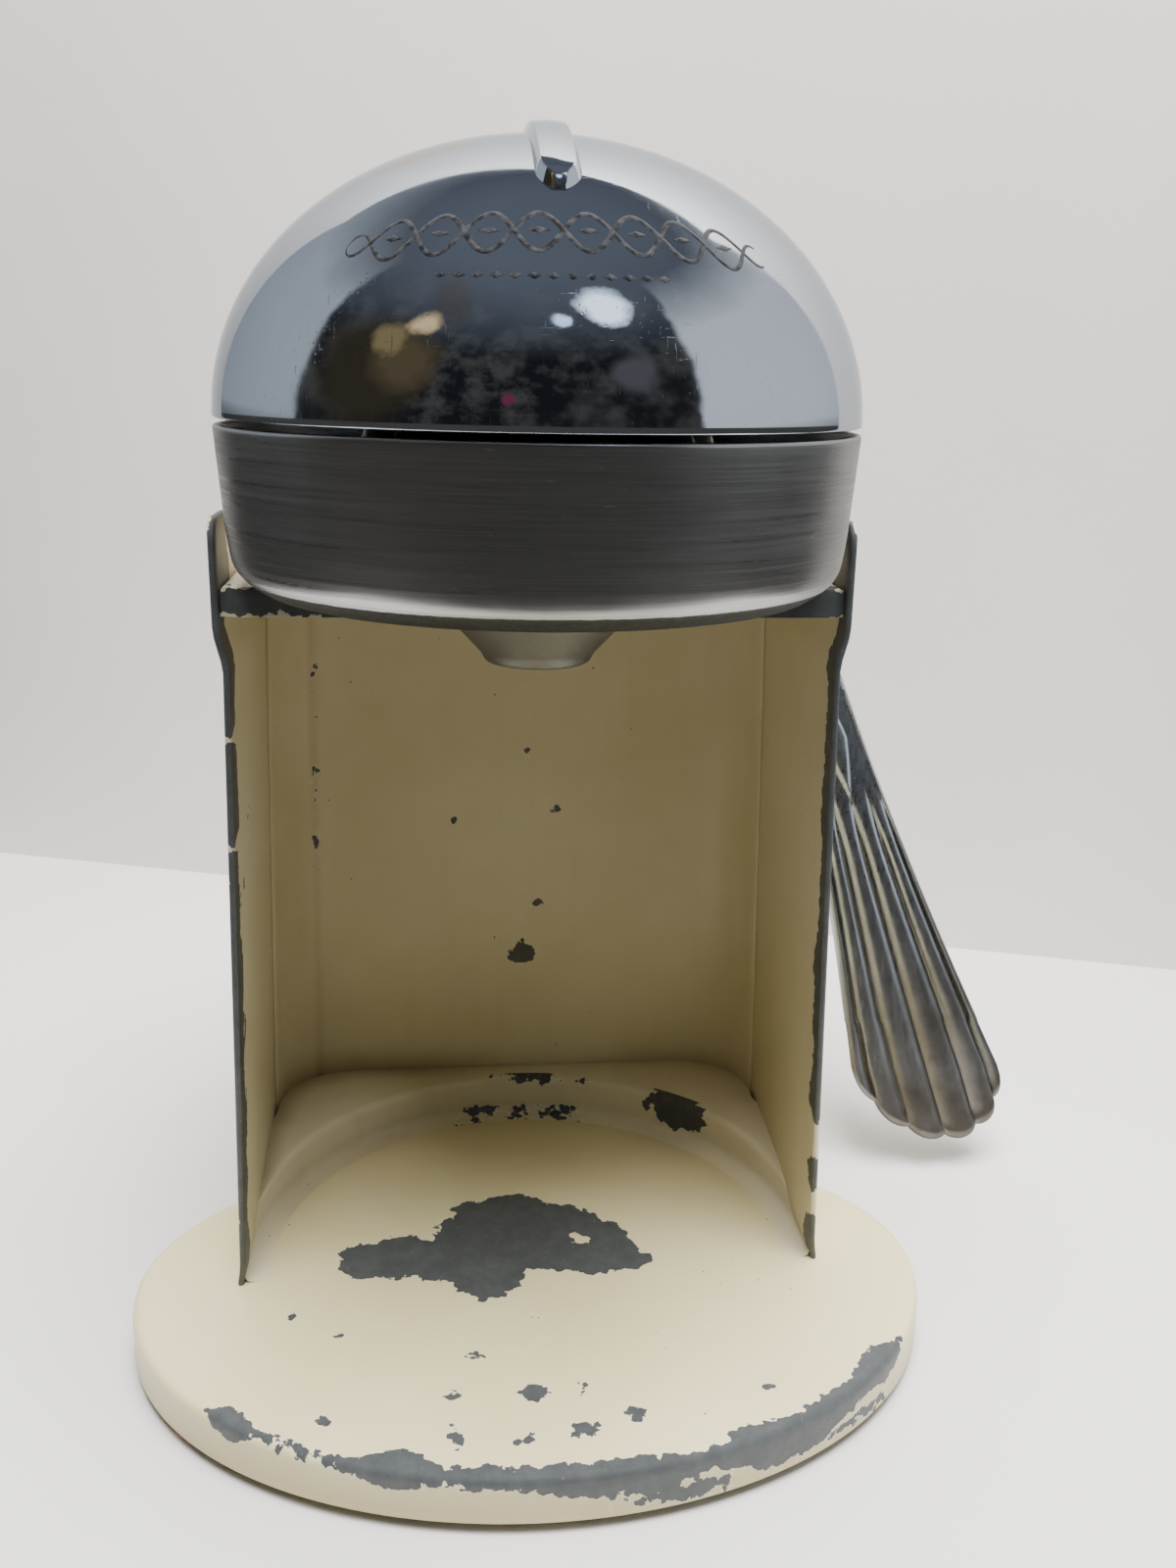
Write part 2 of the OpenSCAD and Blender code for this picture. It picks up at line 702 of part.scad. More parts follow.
module shaft_collar() {
    near = -yoke_out - slide_gap;
    color(STEEL) x_ring(near - shaft_collar_w, near, shaft_r + shaft_collar_wall, shaft_r + seat_fit,
                        shaft_y, shaft_z);
}

// ---- Lever ----

function blade_half(w) = lever_root_r + (lever_end_r - lever_root_r) * pow(w / lever_len, 1.7);

// Outline of the blade, seen from the front: hub at the origin, length downwards
module blade_plan() {
    steps = 16;
    bump_r = 4.3;
    lean = atan(lever_lean);
    polygon(concat(
        [for (i = [0 : steps]) let (w = lever_len * i / steps) [lever_lean * w - blade_half(w), -w]],
        [for (i = [steps : -1 : 0]) let (w = lever_len * i / steps) [lever_lean * w + blade_half(w), -w]]
    ));
    translate([lever_lean * lever_len, -lever_len]) {
        circle(lever_end_r - 1.6);
        for (k = [0 : lever_bands - 1])
            rotate(lean + band_angle(k)) translate([0, -(lever_end_r - bump_r)]) circle(bump_r);
    }
}

function band_angle(k) = -75 + 150 * k / (lever_bands - 1);

// Grooves between the bands: they start together up the blade and fan out to its end
module blade_grooves() {
    groove_r = 3;
    groove_depth = 0.9;
    top_pitch = 2.6;
    start = 45;
    for (k = [0 : lever_bands - 2]) {
        a = atan(lever_lean) + (band_angle(k) + band_angle(k + 1)) / 2;
        x0 = lever_lean * start + (k - (lever_bands - 2) / 2) * top_pitch;
        x1 = lever_lean * lever_len + lever_end_r * sin(a) * 1.02;
        z1 = -lever_len - lever_end_r * cos(a) * 1.02;
        run = [x1 - x0, z1 + start];
        translate([x0, -lever_t / 2 - groove_r + groove_depth, -start]) rotate([0, 180 + atan2(-run[0], -run[1]), 0])
            translate([0, 0, -1]) cylinder(h = norm(run) + 6, r = groove_r, $fn = 48);
    }
}

module handle() {
    color(CHROME) difference() {
        union() {
            translate([lever_x, shaft_y, shaft_z]) rotate([-lever_forward, 0, 0]) difference() {
                rotate([90, 0, 0]) linear_extrude(lever_t, center = true) blade_plan();
                blade_grooves();
            }
            x_bar(hub_in, hub_out, hub_r, shaft_y, shaft_z);
        }
        x_bar(0, shaft_right + seat_fit, shaft_r + seat_fit, shaft_y, shaft_z);
        x_bar(0, 2 * hub_out, screw_r + 2 * seat_fit, shaft_y, shaft_z);
    }
}

module handle_washer() {
    color(STEEL) x_ring(hub_out, hub_out + washer_t, hub_r - 1.5, screw_r + seat_fit, shaft_y, shaft_z);
}

module handle_screw() {
    head_h = 2.4;
    slot_w = 1;
    head_x = hub_out + washer_t;
    color(STEEL) difference() {
        union() {
            x_bar(shaft_right - screw_depth, head_x + EPS, screw_r, shaft_y, shaft_z);
            x_bar(head_x, head_x + head_h, screw_head_r, shaft_y, shaft_z);
        }
        translate([head_x + head_h - slot_w, shaft_y - slot_w / 2, shaft_z - 2 * screw_head_r])
            cube([head_h, slot_w, 4 * screw_head_r]);
    }
}

// ---- Cup, strainer and reamer ----

// Height of the cup's floor above the shelf, r from its axis: it falls towards the spout
function cup_floor_at(r) =
    let (wall = cup_inner_r - cup_cove)
    cup_floor_h - cup_floor_fall * (wall - r) / (wall - spout_bore_r);

module cup() {
    foot_edge = 1.1;
    corner_steps = 6;
    color(ALUMINIUM) translate([0, 0, shelf_z]) difference() {
        rotate_extrude() polygon(concat(
            [[0, 0], [cup_foot_r, 0]],
            [for (i = [0 : corner_steps]) let (a = 90 * i / corner_steps)
                [cup_foot_r + (cup_low_d / 2 - cup_foot_r) * sin(a),
                 foot_edge + (cup_corner_h - foot_edge) * (1 - cos(a))]],
            [[head_r, cup_h], [0, cup_h]]
        ));
        rotate_extrude() polygon([[0, cup_floor_at(0)], [cup_inner_r - cup_cove, cup_floor_h],
                                  [cup_inner_r - cup_ledge_w, strainer_h], [cup_inner_r, strainer_h],
                                  [head_r - cup_t, cup_h + 1], [0, cup_h + 1]]);
        translate([0, 0, -1]) cylinder(h = cup_h, r = spout_neck_r + seat_fit);
    }
}

// Cast funnel whose neck is swaged into the hole in the cup's floor
module cup_spout() {
    color(ALUMINIUM) translate([0, 0, shelf_z]) rotate_extrude()
        polygon([[spout_bore_r, -spout_drop], [spout_r, -spout_drop], [funnel_r, 0], [spout_neck_r, 0],
                 [spout_neck_r, cup_floor_at(spout_neck_r)], [spout_bore_r, cup_floor_at(spout_bore_r)]]);
}

// Flat plate that rests on the cup's ledge
module strainer() {
    holes = 36;
    color(ALUMINIUM) difference() {
        translate([0, 0, strainer_z]) cylinder(h = strainer_t, r = cup_inner_r - strainer_gap);
        for (r = STRAINER_RINGS, k = [0 : holes - 1]) rotate(360 * k / holes)
            translate([r, 0, shelf_z]) cylinder(h = 2 * strainer_h, r = strainer_hole_r, $fn = 24);
        translate([0, 0, shelf_z]) cylinder(h = 2 * strainer_h, r = rivet_r + seat_fit);
    }
}

// Ogive of the reamer: radius at height z
function ogive(z, grow) = (reamer_r + grow) * pow(1 - pow(z / (reamer_h + grow), 2), 0.72);

module reamer() {
    ribs = 8;
    steps = 20;
    core = reamer_rib_h;
    color(ALUMINIUM) translate([0, 0, reamer_z]) difference() {
        union() {
            rotate_extrude() polygon(concat([[0, 0]], [for (i = [0 : steps])
                let (z = (reamer_h - core) * sin(90 * i / steps)) [i == steps ? 0 : ogive(z, -core), z]]));
            for (k = [0 : ribs / 2 - 1]) rotate([90, 0, 360 * k / ribs])
                linear_extrude(reamer_rib_t, center = true) polygon(concat(
                    [for (i = [0 : steps - 1]) let (z = reamer_h * sin(90 * i / steps)) [ogive(z, 0), z]],
                    [[0, reamer_h]],
                    [for (i = [steps - 1 : -1 : 0]) let (z = reamer_h * sin(90 * i / steps)) [-ogive(z, 0), z]]));
        }
        cylinder(h = rivet_depth, r = rivet_r + seat_fit);
    }
}

module reamer_rivet() {
    head_r = 4;
    head_h = 1.2;
    color(ALUMINIUM) {
        translate([0, 0, strainer_z - head_h]) cylinder(h = head_h, r = head_r);
        translate([0, 0, strainer_z - EPS]) cylinder(h = strainer_t + rivet_depth - 1, r = rivet_r);
    }
}

// ---- Head ----

module arm_rivet_holes(r) {
    for (sx = [-1, 1]) translate([sx * arm_rivet_x, 0, arm_rivet_z]) rotate([-90, 0, 0])
        cylinder(h = head_d, r = r);
}

// Plan of the rib: a bar with a pointed front end, which stops at the arm
module rib_plan() {
    rear = head_r * sqrt(1 - pow(arm_pad_top / dome_h, 2));
    shoulder = -rib_front + 0.55 * rib_w;
    polygon([[0, -rib_front], [rib_w / 2, shoulder], [rib_w / 2, rear], [-rib_w / 2, rear], [-rib_w / 2, shoulder]]);
}

module dome() {
    color(CHROME) difference() {
        union() {
            dome_solid(head_r, dome_h, dome_z);
            intersection() {
                dome_solid(head_r + rib_h, dome_h + rib_h, dome_z);
                translate([0, 0, dome_z]) linear_extrude(2 * dome_h) rib_plan();
            }
        }
        difference() {
            translate([0, 0, -EPS]) dome_solid(head_r - dome_t, dome_h - dome_t, dome_z);
            translate([0, 0, presser_top + lay_gap]) cylinder(h = dome_h, r = boss_r);
        }
        translate([0, 0, presser_top - 1]) cylinder(h = 6, r = presser_screw_r + seat_fit);
        arm_rivet_holes(arm_rivet_r + seat_fit);
    }
}

module head_arm() {
    color(CHROME) difference() {
        union() {
            x_bar(-arm_w / 2, arm_w / 2, knuckle_r, hinge_y, hinge_z);
            translate([-arm_w / 2, 0, arm_low]) cube([arm_w, hinge_y, knuckle_r + hinge_z - arm_low]);
            intersection() {
                dome_solid(head_r + arm_pad_t, dome_h + arm_pad_t, arm_low);
                translate([-arm_pad_half, 0, arm_low]) cube([2 * arm_pad_half, head_d, arm_pad_h]);
            }
        }
        dome_solid(head_r, dome_h, dome_z);
        x_bar(-arm_w, arm_w, hinge_pin_r + run_fit, hinge_y, hinge_z);
        arm_rivet_holes(arm_rivet_r + seat_fit);
        // flat seats for the rivets' heads
        for (sx = [-1, 1]) translate([sx * arm_rivet_x, arm_rivet_seat, arm_rivet_z]) rotate([-90, 0, 0])
            cylinder(h = 5, r = arm_rivet_head_r + lay_gap);
    }
}

module arm_rivets() {
    color(STEEL) for (sx = [-1, 1]) translate([sx * arm_rivet_x, arm_rivet_seat, arm_rivet_z])
        rotate([-90, 0, 0]) {
            translate([0, 0, -6]) cylinder(h = 6.5, r = arm_rivet_r);
            cylinder(h = arm_rivet_head_h, r = arm_rivet_head_r);
        }
}

module presser() {
    fins = 8;
    fin_t = 1.6;
    fin_start = 17;
    color(ALUMINIUM) difference() {
        union() {
            dome_solid(presser_r + presser_t, presser_h + presser_t, presser_z);
            translate([0, 0, presser_z]) cylinder(h = presser_t, r = presser_brim_r);
        }
        difference() {
            translate([0, 0, -EPS]) dome_solid(presser_r, presser_h, presser_z);
            for (k = [0 : fins - 1]) rotate(360 * k / fins)
                translate([fin_start, -fin_t / 2, presser_z]) cube([presser_r, fin_t, presser_h]);
        }
        dome_solid(presser_r - fin_depth, presser_h - fin_depth, presser_z - EPS);
        translate([0, 0, presser_z]) cylinder(h = 2 * presser_h, r = presser_screw_r + seat_fit);
    }
}

module presser_screw() {
    head_r = 4;
    head_h = 2;
    slot_w = 1;
    seat = presser_top - presser_t - 0.5;
    color(STEEL) difference() {
        upward_screw([0, 0], seat, head_r, head_h, presser_screw_r, presser_t + 4.5);
        translate([-2 * head_r, -slot_w / 2, seat - 2 * head_h]) cube([4 * head_r, slot_w, 1.4 * head_h]);
    }
}

// ---- Hinge on the rack ----

module hinge_block() {
    front = hinge_y - knuckle_r;
    tail = 3.5;
    back = rack_root_y + tail;
    color(STEEL) difference() {
        union() {
            translate([-block_out, front, block_z]) cube([2 * block_out, back - front, block_floor - block_z]);
            for (sx = [-1, 1]) {
                x0 = sx * (block_half + ear_t / 2) - ear_t / 2;
                x_bar(x0, x0 + ear_t, knuckle_r + 0.5, hinge_y, hinge_z);
                translate([x0, hinge_y - knuckle_r, block_floor - EPS])
                    cube([ear_t, 2 * knuckle_r, hinge_z - block_floor]);
            }
        }
        x_bar(-2 * block_out, 2 * block_out, hinge_pin_r + seat_fit, hinge_y, hinge_z);
        translate([-rack_w / 2 - lay_gap, rack_y - lay_gap, 0])
            cube([rack_w + 2 * lay_gap, rack_t + 2 * lay_gap, 4 * housing_top]);
        rack_pin_hole(rack_pin_r + seat_fit);
    }
}

module hinge_pin() {
    head_t = 1.4;
    color(STEEL) {
        x_bar(-block_out - EPS, block_out + EPS, hinge_pin_r, hinge_y, hinge_z);
        for (sx = [-1, 1]) {
            x0 = sx * (block_out + head_t / 2) - head_t / 2;
            x_bar(x0, x0 + head_t, hinge_pin_r + 1.2, hinge_y, hinge_z);
        }
    }
}

// ---- The whole press ----

module placed() {
    translate([-mid_x, -mid_y, 0]) children();
}

placed() base();
placed() rubber_feet();
placed() foot_studs();
placed() housing();
placed() base_screws();
placed() back_panel();
placed() cup_shelf();
placed() gear_yoke();
placed() yoke_screws();
placed() rack_guide();
placed() wall_bush();
placed() cup();
placed() cup_spout();
placed() strainer();
placed() reamer();
placed() reamer_rivet();
placed() handle();
placed() lever_shaft();
placed() pinion();
placed() pinion_pin();
placed() shaft_collar();
placed() handle_washer();
placed() handle_screw();
placed() rack();
placed() hinge_block();
placed() rack_pin();
placed() hinge_pin();
placed() dome();
placed() head_arm();
placed() arm_rivets();
placed() presser();
placed() presser_screw();
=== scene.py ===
"""Looks of a lever citrus press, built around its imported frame.

Shapes are worked out in millimetres about the axis of the cup, with z = 0 on the
table, and Datum.place turns them into the frame's metres.
"""
import logging
import math
from dataclasses import dataclass, field
from enum import Enum
from typing import Callable, Sequence

import bmesh
import bpy
import numpy as np
from mathutils import Matrix, Vector


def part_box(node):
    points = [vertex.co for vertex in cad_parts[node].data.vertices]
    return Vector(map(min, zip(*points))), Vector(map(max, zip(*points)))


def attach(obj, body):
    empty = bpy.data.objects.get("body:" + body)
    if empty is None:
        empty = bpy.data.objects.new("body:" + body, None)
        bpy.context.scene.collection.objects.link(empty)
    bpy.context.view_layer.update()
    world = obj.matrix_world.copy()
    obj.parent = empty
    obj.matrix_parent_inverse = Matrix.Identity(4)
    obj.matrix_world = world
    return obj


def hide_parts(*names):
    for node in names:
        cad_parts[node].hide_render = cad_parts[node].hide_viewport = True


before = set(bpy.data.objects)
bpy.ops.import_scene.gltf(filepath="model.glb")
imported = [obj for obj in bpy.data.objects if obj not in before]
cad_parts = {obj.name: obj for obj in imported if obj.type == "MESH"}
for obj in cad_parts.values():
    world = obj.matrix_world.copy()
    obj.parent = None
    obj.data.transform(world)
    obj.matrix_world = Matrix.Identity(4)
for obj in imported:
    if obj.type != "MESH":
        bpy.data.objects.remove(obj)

LOG = logging.getLogger("press")
MM = 0.001
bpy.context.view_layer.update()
TINY = 1e-6
Array = np.ndarray
Colour = tuple[float, float, float, float]
Socket = bpy.types.NodeSocket
Material = bpy.types.Material


class Slot(Enum):
    """Names of the record's material slots; each new piece is passed one, which nothing reads."""

    BASE = "enamel_base"
    HOUSING = "enamel_housing"
    PANEL = "enamel_panel"
    SHELF = "enamel_shelf"
    CUP = "cup_aluminium"
    SPOUT = "spout_casting"
    INSERT = "insert_aluminium"
    DOME = "dome_chrome"
    LEVER = "lever_chrome"


@dataclass(frozen=True)
class Datum:
    """Where the cup's axis stands in the frame, in millimetres."""

    x: float
    y: float

    @classmethod
    def from_frame(cls) -> "Datum":
        """Reads the axis off the middle of the cup's box."""
        low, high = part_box("cup")
        return cls((low.x + high.x) / 2 / MM, (low.y + high.y) / 2 / MM)

    def place(self, points: Array) -> Array:
        """Moves points about the cup's axis into the frame, in metres.

        Args:
            points: Array whose last axis is x, y, z in millimetres.

        Returns:
            The same points in the frame's metres.
        """
        return (points + np.array([self.x, self.y, 0.0])) * MM


DATUM = Datum.from_frame()


@dataclass(frozen=True)
class NodeBox:
    """The box of a CAD node at rest, in millimetres about the cup's axis."""

    low: Array
    high: Array

    @classmethod
    def of(cls, node: str) -> "NodeBox":
        """Reads the box of a node, by name, off the frame."""
        shift = np.array([DATUM.x, DATUM.y, 0.0])
        low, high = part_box(node)
        return cls(np.array(low) / MM - shift, np.array(high) / MM - shift)


# ---- Surfaces ----


def full_turn(steps: int) -> Array:
    """Evenly spaced angles once around."""
    return np.linspace(0, 2 * np.pi, steps, endpoint=False)


def xyz(x: Array, y: Array, z: Array) -> Array:
    """Stacks coordinates into points, after spreading them to one shape."""
    return np.stack(np.broadcast_arrays(x, y, z), axis=-1)


def box_reach(dx: Array, dy: Array, half: float, rear: float, front: float, radius: float) -> Array:
    """Distance to a rectangle with two round rear corners, in a direction.

    Args:
        dx: The direction's share to the right.
        dy: The direction's share to the rear.
        half: Half width of the rectangle.
        rear: Its reach to the rear.
        front: Its reach to the front.
        radius: Radius of its rear corners.

    Returns:
        The distance from the origin to its outline.
    """
    to_side = half / np.maximum(np.abs(dx), TINY)
    to_end = np.where(dy > 0, rear / np.maximum(dy, TINY), front / np.maximum(-dy, TINY))
    flat = np.minimum(to_side, to_end)
    cx, cy = half - radius, rear - radius
    along = np.abs(dx) * cx + dy * cy
    corner = along + np.sqrt(np.maximum(along ** 2 - (cx * cx + cy * cy - radius ** 2), 0))
    return np.where((flat * np.abs(dx) > cx) & (flat * dy > cy), corner, flat)


@dataclass
class Patch:
    """A surface given by a grid of points, with named values at each point.

    Attributes:
        points: Array of shape (rows, columns, 3), in millimetres.
        wrap: Whether the last column joins the first.
        values: Arrays of shape (rows, columns) by attribute name.
    """

    points: Array
    wrap: bool = False
    values: dict[str, Array] = field(default_factory=dict)

    def quads(self) -> Array:
        """Returns the corners of every quad, as indices into the flattened grid."""
        rows, cols = self.points.shape[:2]
        index = np.arange(rows * cols).reshape(rows, cols)
        if self.wrap:
            index = np.concatenate([index, index[:, :1]], axis=1)
        corners = [index[:-1, :-1], index[:-1, 1:], index[1:, 1:], index[1:, :-1]]
        return np.stack(corners, axis=-1).reshape(-1, 4)


def add_piece(name: str, patches: Sequence[Patch], body: str, material: Material, slot: Slot,
              nodes: Sequence[str], sharp_deg: float = 40.0) -> None:
    """Makes one mesh object of several patches, which takes the place of CAD nodes.

    Seams are merged, faces turned outward, and the piece has its place in its mesh.

    Args:
        name: Name of the piece.
        patches: The surfaces it is made of.
        body: The CAD body it rides on.
        material: Its finish.
        slot: The record's slot of that finish; not used.
        nodes: The CAD nodes it stands for.
        sharp_deg: Edges that fold more than this are shaded sharp.
    """
    points = np.concatenate([DATUM.place(p.points).reshape(-1, 3) for p in patches])
    starts = np.cumsum([0] + [p.points.shape[0] * p.points.shape[1] for p in patches[:-1]])
    quads = np.concatenate([p.quads() + start for p, start in zip(patches, starts)])
    mesh = bpy.data.meshes.new(name)
    mesh.vertices.add(len(points))
    mesh.vertices.foreach_set("co", points.astype(np.float32).ravel())
    mesh.loops.add(quads.size)
    mesh.loops.foreach_set("vertex_index", quads.astype(np.int32).ravel())
    mesh.polygons.add(len(quads))
    mesh.polygons.foreach_set("loop_start", np.arange(0, quads.size, 4, dtype=np.int32))
    for key in sorted({key for p in patches for key in p.values}):
        value = np.concatenate([
            np.asarray(p.values.get(key, np.zeros(p.points.shape[:2]))).ravel() for p in patches])
        layer = mesh.attributes.new(key, "FLOAT", "POINT")
        layer.data.foreach_set("value", value.astype(np.float32))
    mesh.update(calc_edges=True)
    tidy = bmesh.new()
    tidy.from_mesh(mesh)
    bmesh.ops.remove_doubles(tidy, verts=tidy.verts, dist=2e-6)
    bmesh.ops.dissolve_degenerate(tidy, edges=tidy.edges, dist=1e-7)
    bmesh.ops.recalc_face_normals(tidy, faces=tidy.faces)
    tidy.to_mesh(mesh)
    tidy.free()
    mesh.polygons.foreach_set("use_smooth", np.ones(len(mesh.polygons), bool))
    mesh.set_sharp_from_angle(angle=math.radians(sharp_deg))
    piece = bpy.data.objects.new(name, mesh)
    bpy.context.scene.collection.objects.link(piece)
    piece.data.materials.append(material)
    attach(piece, body)
    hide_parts(*nodes)
    LOG.info("%s: %d faces on %s", piece.name, len(piece.data.polygons), body)


def lathe(profile: Array, steps: int, centre: tuple[float, float] = (0.0, 0.0),
          values: dict[str, Array] | None = None) -> Patch:
    """Turns a profile about a vertical axis.

    The point of row i and column j is the profile's radius i at angle 2 pi j / steps.

    Args:
        profile: Array of (radius, height) pairs.
        steps: Number of columns around the axis.
        centre: Where the axis stands.
        values: One value for each point of the profile, by attribute name.

    Returns:
        The surface, closed around the axis.
    """
    angle = full_turn(steps)
    radius, height = profile[:, :1], profile[:, 1:]
    x = centre[0] + radius * np.sin(angle)
    y = centre[1] - radius * np.cos(angle)
    spread = {key: np.asarray(v)[:, None] + 0 * angle for key, v in (values or {}).items()}
    return Patch(xyz(x, y, height), True, spread)


def round_profile(points: Sequence[tuple[float, float, float]], step: float = 1.0) -> Array:
    """Joins straight runs with round corners.

    Each corner is replaced by a quadratic curve that starts and ends its radius away.

    Args:
        points: (a, b, radius) of each corner; the first and last radius are not used.
        step: Longest run between two points.

    Returns:
        Array of (a, b) pairs along the rounded line.
    """
    xy = np.array([p[:2] for p in points], float)
    out = [xy[:1]]
    for i in range(1, len(xy) - 1):
        before, after = xy[i - 1] - xy[i], xy[i + 1] - xy[i]
        reach_b, reach_a = np.linalg.norm(before), np.linalg.norm(after)
        cut = min(points[i][2], 0.49 * reach_b, 0.49 * reach_a)
        start, end = xy[i] + before / reach_b * cut, xy[i] + after / reach_a * cut
        t = np.linspace(0, 1, 7)[:, None]
        out.append((1 - t) ** 2 * start + 2 * t * (1 - t) * xy[i] + t ** 2 * end)
    out.append(xy[-1:])
    line = np.concatenate(out)
    run = np.linalg.norm(np.diff(line, axis=0), axis=1)
    counts = np.maximum(1, np.ceil(run / step).astype(int))
    pieces = [line[i] + (line[i + 1] - line[i]) * np.arange(n)[:, None] / n
              for i, n in enumerate(counts)]
    return np.concatenate(pieces + [line[-1:]])


def graded(low: float, high: float, step: float, edge: float) -> Array:
    """Returns values from low to high in even steps, packed closer near both ends.

    Args:
        low: First value.
        high: Last value.
        step: Spacing in the middle.
        edge: Width of the round edge at each end, which gets five values.

    Returns:
        The values in order.
    """
    rim = edge * np.array([0.0, 0.08, 0.3, 0.6, 1.0])
    middle = np.linspace(low + edge, high - edge, max(3, int((high - low) / step)))
    return np.concatenate([low + rim[:-1], middle, high - rim[::-1][1:]])


def edge_roundness(distance: Array, thickness: float) -> Array:
    """Share of a sheet's half thickness that is left at a distance from its cut edge.

    It follows a quarter circle from 0 at the edge to 1 half a thickness further in.
    """
    near = np.clip(distance / (thickness / 2), 0, 1)
    return np.sqrt(np.clip(1 - (1 - near) ** 2, 0, 1))


def smooth_step(value: Array, low: float, high: float) -> Array:
    """Rises from 0 at low to 1 at high along a cubic."""
    t = np.clip((value - low) / (high - low), 0, 1)
    return t * t * (3 - 2 * t)


def u_line(half_w: Array, front: Array, rear: float, radius: float, along: Array) -> tuple[Array, Array]:
    """Points and outward normals of a U-shaped plan line, open to the front.

    The line runs from the left front end back around two quarter circles to the right
    front end; `along` is the distance from the middle of the rear wall.

    Args:
        half_w: Half width at each point.
        front: Place of the front ends, past which no point goes.
        rear: Place of the rear wall.
        radius: Radius of the rear corners.
        along: Distances from the middle of the rear wall, negative to the left.

    Returns:
        Points (..., 2) and normals (..., 2).
    """
    side = np.sign(along) + (along == 0)
    s = np.abs(along)
    flat = half_w - radius
    arc = radius * np.pi / 2
    on_flat = s < flat
    turn = np.clip((s - flat) / radius, 0, np.pi / 2)
    over = np.maximum(0, s - flat - arc)
    x = np.where(on_flat, s, flat + radius * np.sin(turn))
    y = np.where(on_flat, rear, rear - radius + radius * np.cos(turn)) - over
    y = np.maximum(y, front)
    normal = np.stack([side * np.sin(turn), np.cos(turn)], axis=-1)
    return np.stack([side * x, y], axis=-1), normal


@dataclass(frozen=True)
class Blob:
    """An elliptical spot, in the plane of two coordinates.

    Attributes:
        a: First coordinate of its middle.
        b: Second coordinate of its middle.
        ra: Half width along the first coordinate.
        rb: Half width along the second coordinate.
    """

    a: float
    b: float
    ra: float
    rb: float

    def distance(self, a: Array, b: Array) -> Array:
        """Signed distance to the ellipse, negative inside, nearly true close to it."""
        reach = np.hypot((a - self.a) / self.ra, (b - self.b) / self.rb)
        return (reach - 1) * min(self.ra, self.rb)


NO_CHIP = 30.0


def chip_field(blobs: Sequence[Blob], a: Array, b: Array) -> Array:
    """Signed distance in millimetres to the nearest of several chips."""
    field_mm = np.full(np.broadcast(a, b).shape, NO_CHIP)
    for blob in blobs:
        field_mm = np.minimum(field_mm, blob.distance(a, b))
    return field_mm


# ---- Finishes ----


class Graph:
    """Short calls for building a node tree."""

    def __init__(self, tree: bpy.types.NodeTree, coords: str) -> None:
        """Starts on a tree, with the kind of coordinates its patterns read."""
        self.tree = tree
        self.coords = self.add("ShaderNodeTexCoord").outputs[coords]

    def add(self, kind: str, **settings: object) -> bpy.types.Node:
        """Adds a node and sets its options."""
        node = self.tree.nodes.new(kind)
        for key, value in settings.items():
            setattr(node, key, value)
        return node

    def link(self, target: Socket, value: object) -> None:
        """Puts a number, colour or output on an input."""
        if isinstance(value, Socket):
            self.tree.links.new(value, target)
        else:
            target.default_value = value

    def attribute(self, name: str) -> Socket:
        """Reads one of the mesh's named values."""
        return self.add("ShaderNodeAttribute", attribute_name=name).outputs["Fac"]

    def stretch(self, scale: Sequence[float]) -> Socket:
        """Object coordinates with each axis scaled."""
        node = self.add("ShaderNodeMapping")
        self.link(node.inputs["Vector"], self.coords)
        node.inputs["Scale"].default_value = scale
        return node.outputs["Vector"]

    def noise(self, scale: float, detail: float = 3.0, roughness: float = 0.55,
              vector: Socket | None = None) -> Socket:
        """Smooth noise about 0.5, with `scale` features per metre."""
        node = self.add("ShaderNodeTexNoise")
        for key, value in (("Vector", vector or self.coords), ("Scale", scale), ("Detail", detail),
                           ("Roughness", roughness)):
            self.link(node.inputs[key], value)
        return node.outputs["Fac"]

    def streaks(self, scale: Sequence[float], detail: float = 3.0, roughness: float = 0.6) -> Socket:
        """Noise with its own number of features per metre along each axis."""
        return self.noise(1, detail, roughness, self.stretch(scale))

    def cells(self, scale: float) -> Socket:
        """Distance to the nearest of scattered points."""
        node = self.add("ShaderNodeTexVoronoi")
        self.link(node.inputs["Vector"], self.coords)
        node.inputs["Scale"].default_value = scale
        return node.outputs["Distance"]

    def math(self, operation: str, a: object, b: object = 0.0) -> Socket:
        """One arithmetic step."""
        node = self.add("ShaderNodeMath", operation=operation)
        self.link(node.inputs[0], a)
        self.link(node.inputs[1], b)
        return node.outputs[0]

    def mul(self, a: object, b: object) -> Socket:
        """Product of two values."""
        return self.math("MULTIPLY", a, b)

    def plus(self, a: object, b: object) -> Socket:
        """Sum of two values."""
        return self.math("ADD", a, b)

    def about_zero(self, value: object, middle: float, scale: float) -> Socket:
        """Moves a value's middle to zero and scales it."""
        return self.mul(self.math("SUBTRACT", value, middle), scale)

    def ramp(self, value: object, low: float, high: float, out_low: float = 0.0,
             out_high: float = 1.0) -> Socket:
        """Maps low..high to out_low..out_high, held at both ends."""
        node = self.add("ShaderNodeMapRange")
        for key, number in zip((1, 2, 3, 4), (low, high, out_low, out_high)):
            node.inputs[key].default_value = number
        self.link(node.inputs[0], value)
        return node.outputs[0]

    def mix(self, factor: object, a: object, b: object) -> Socket:
        """Blends two colours."""
        node = self.add("ShaderNodeMix", data_type="RGBA")
        self.link(node.inputs[0], factor)
        self.link(node.inputs[6], a)
        self.link(node.inputs[7], b)
        return node.outputs[2]


def shade(colour: Colour, factor: float) -> Colour:
    """The colour made darker or paler by a factor."""
    return tuple(factor * c for c in colour[:3]) + (1,)


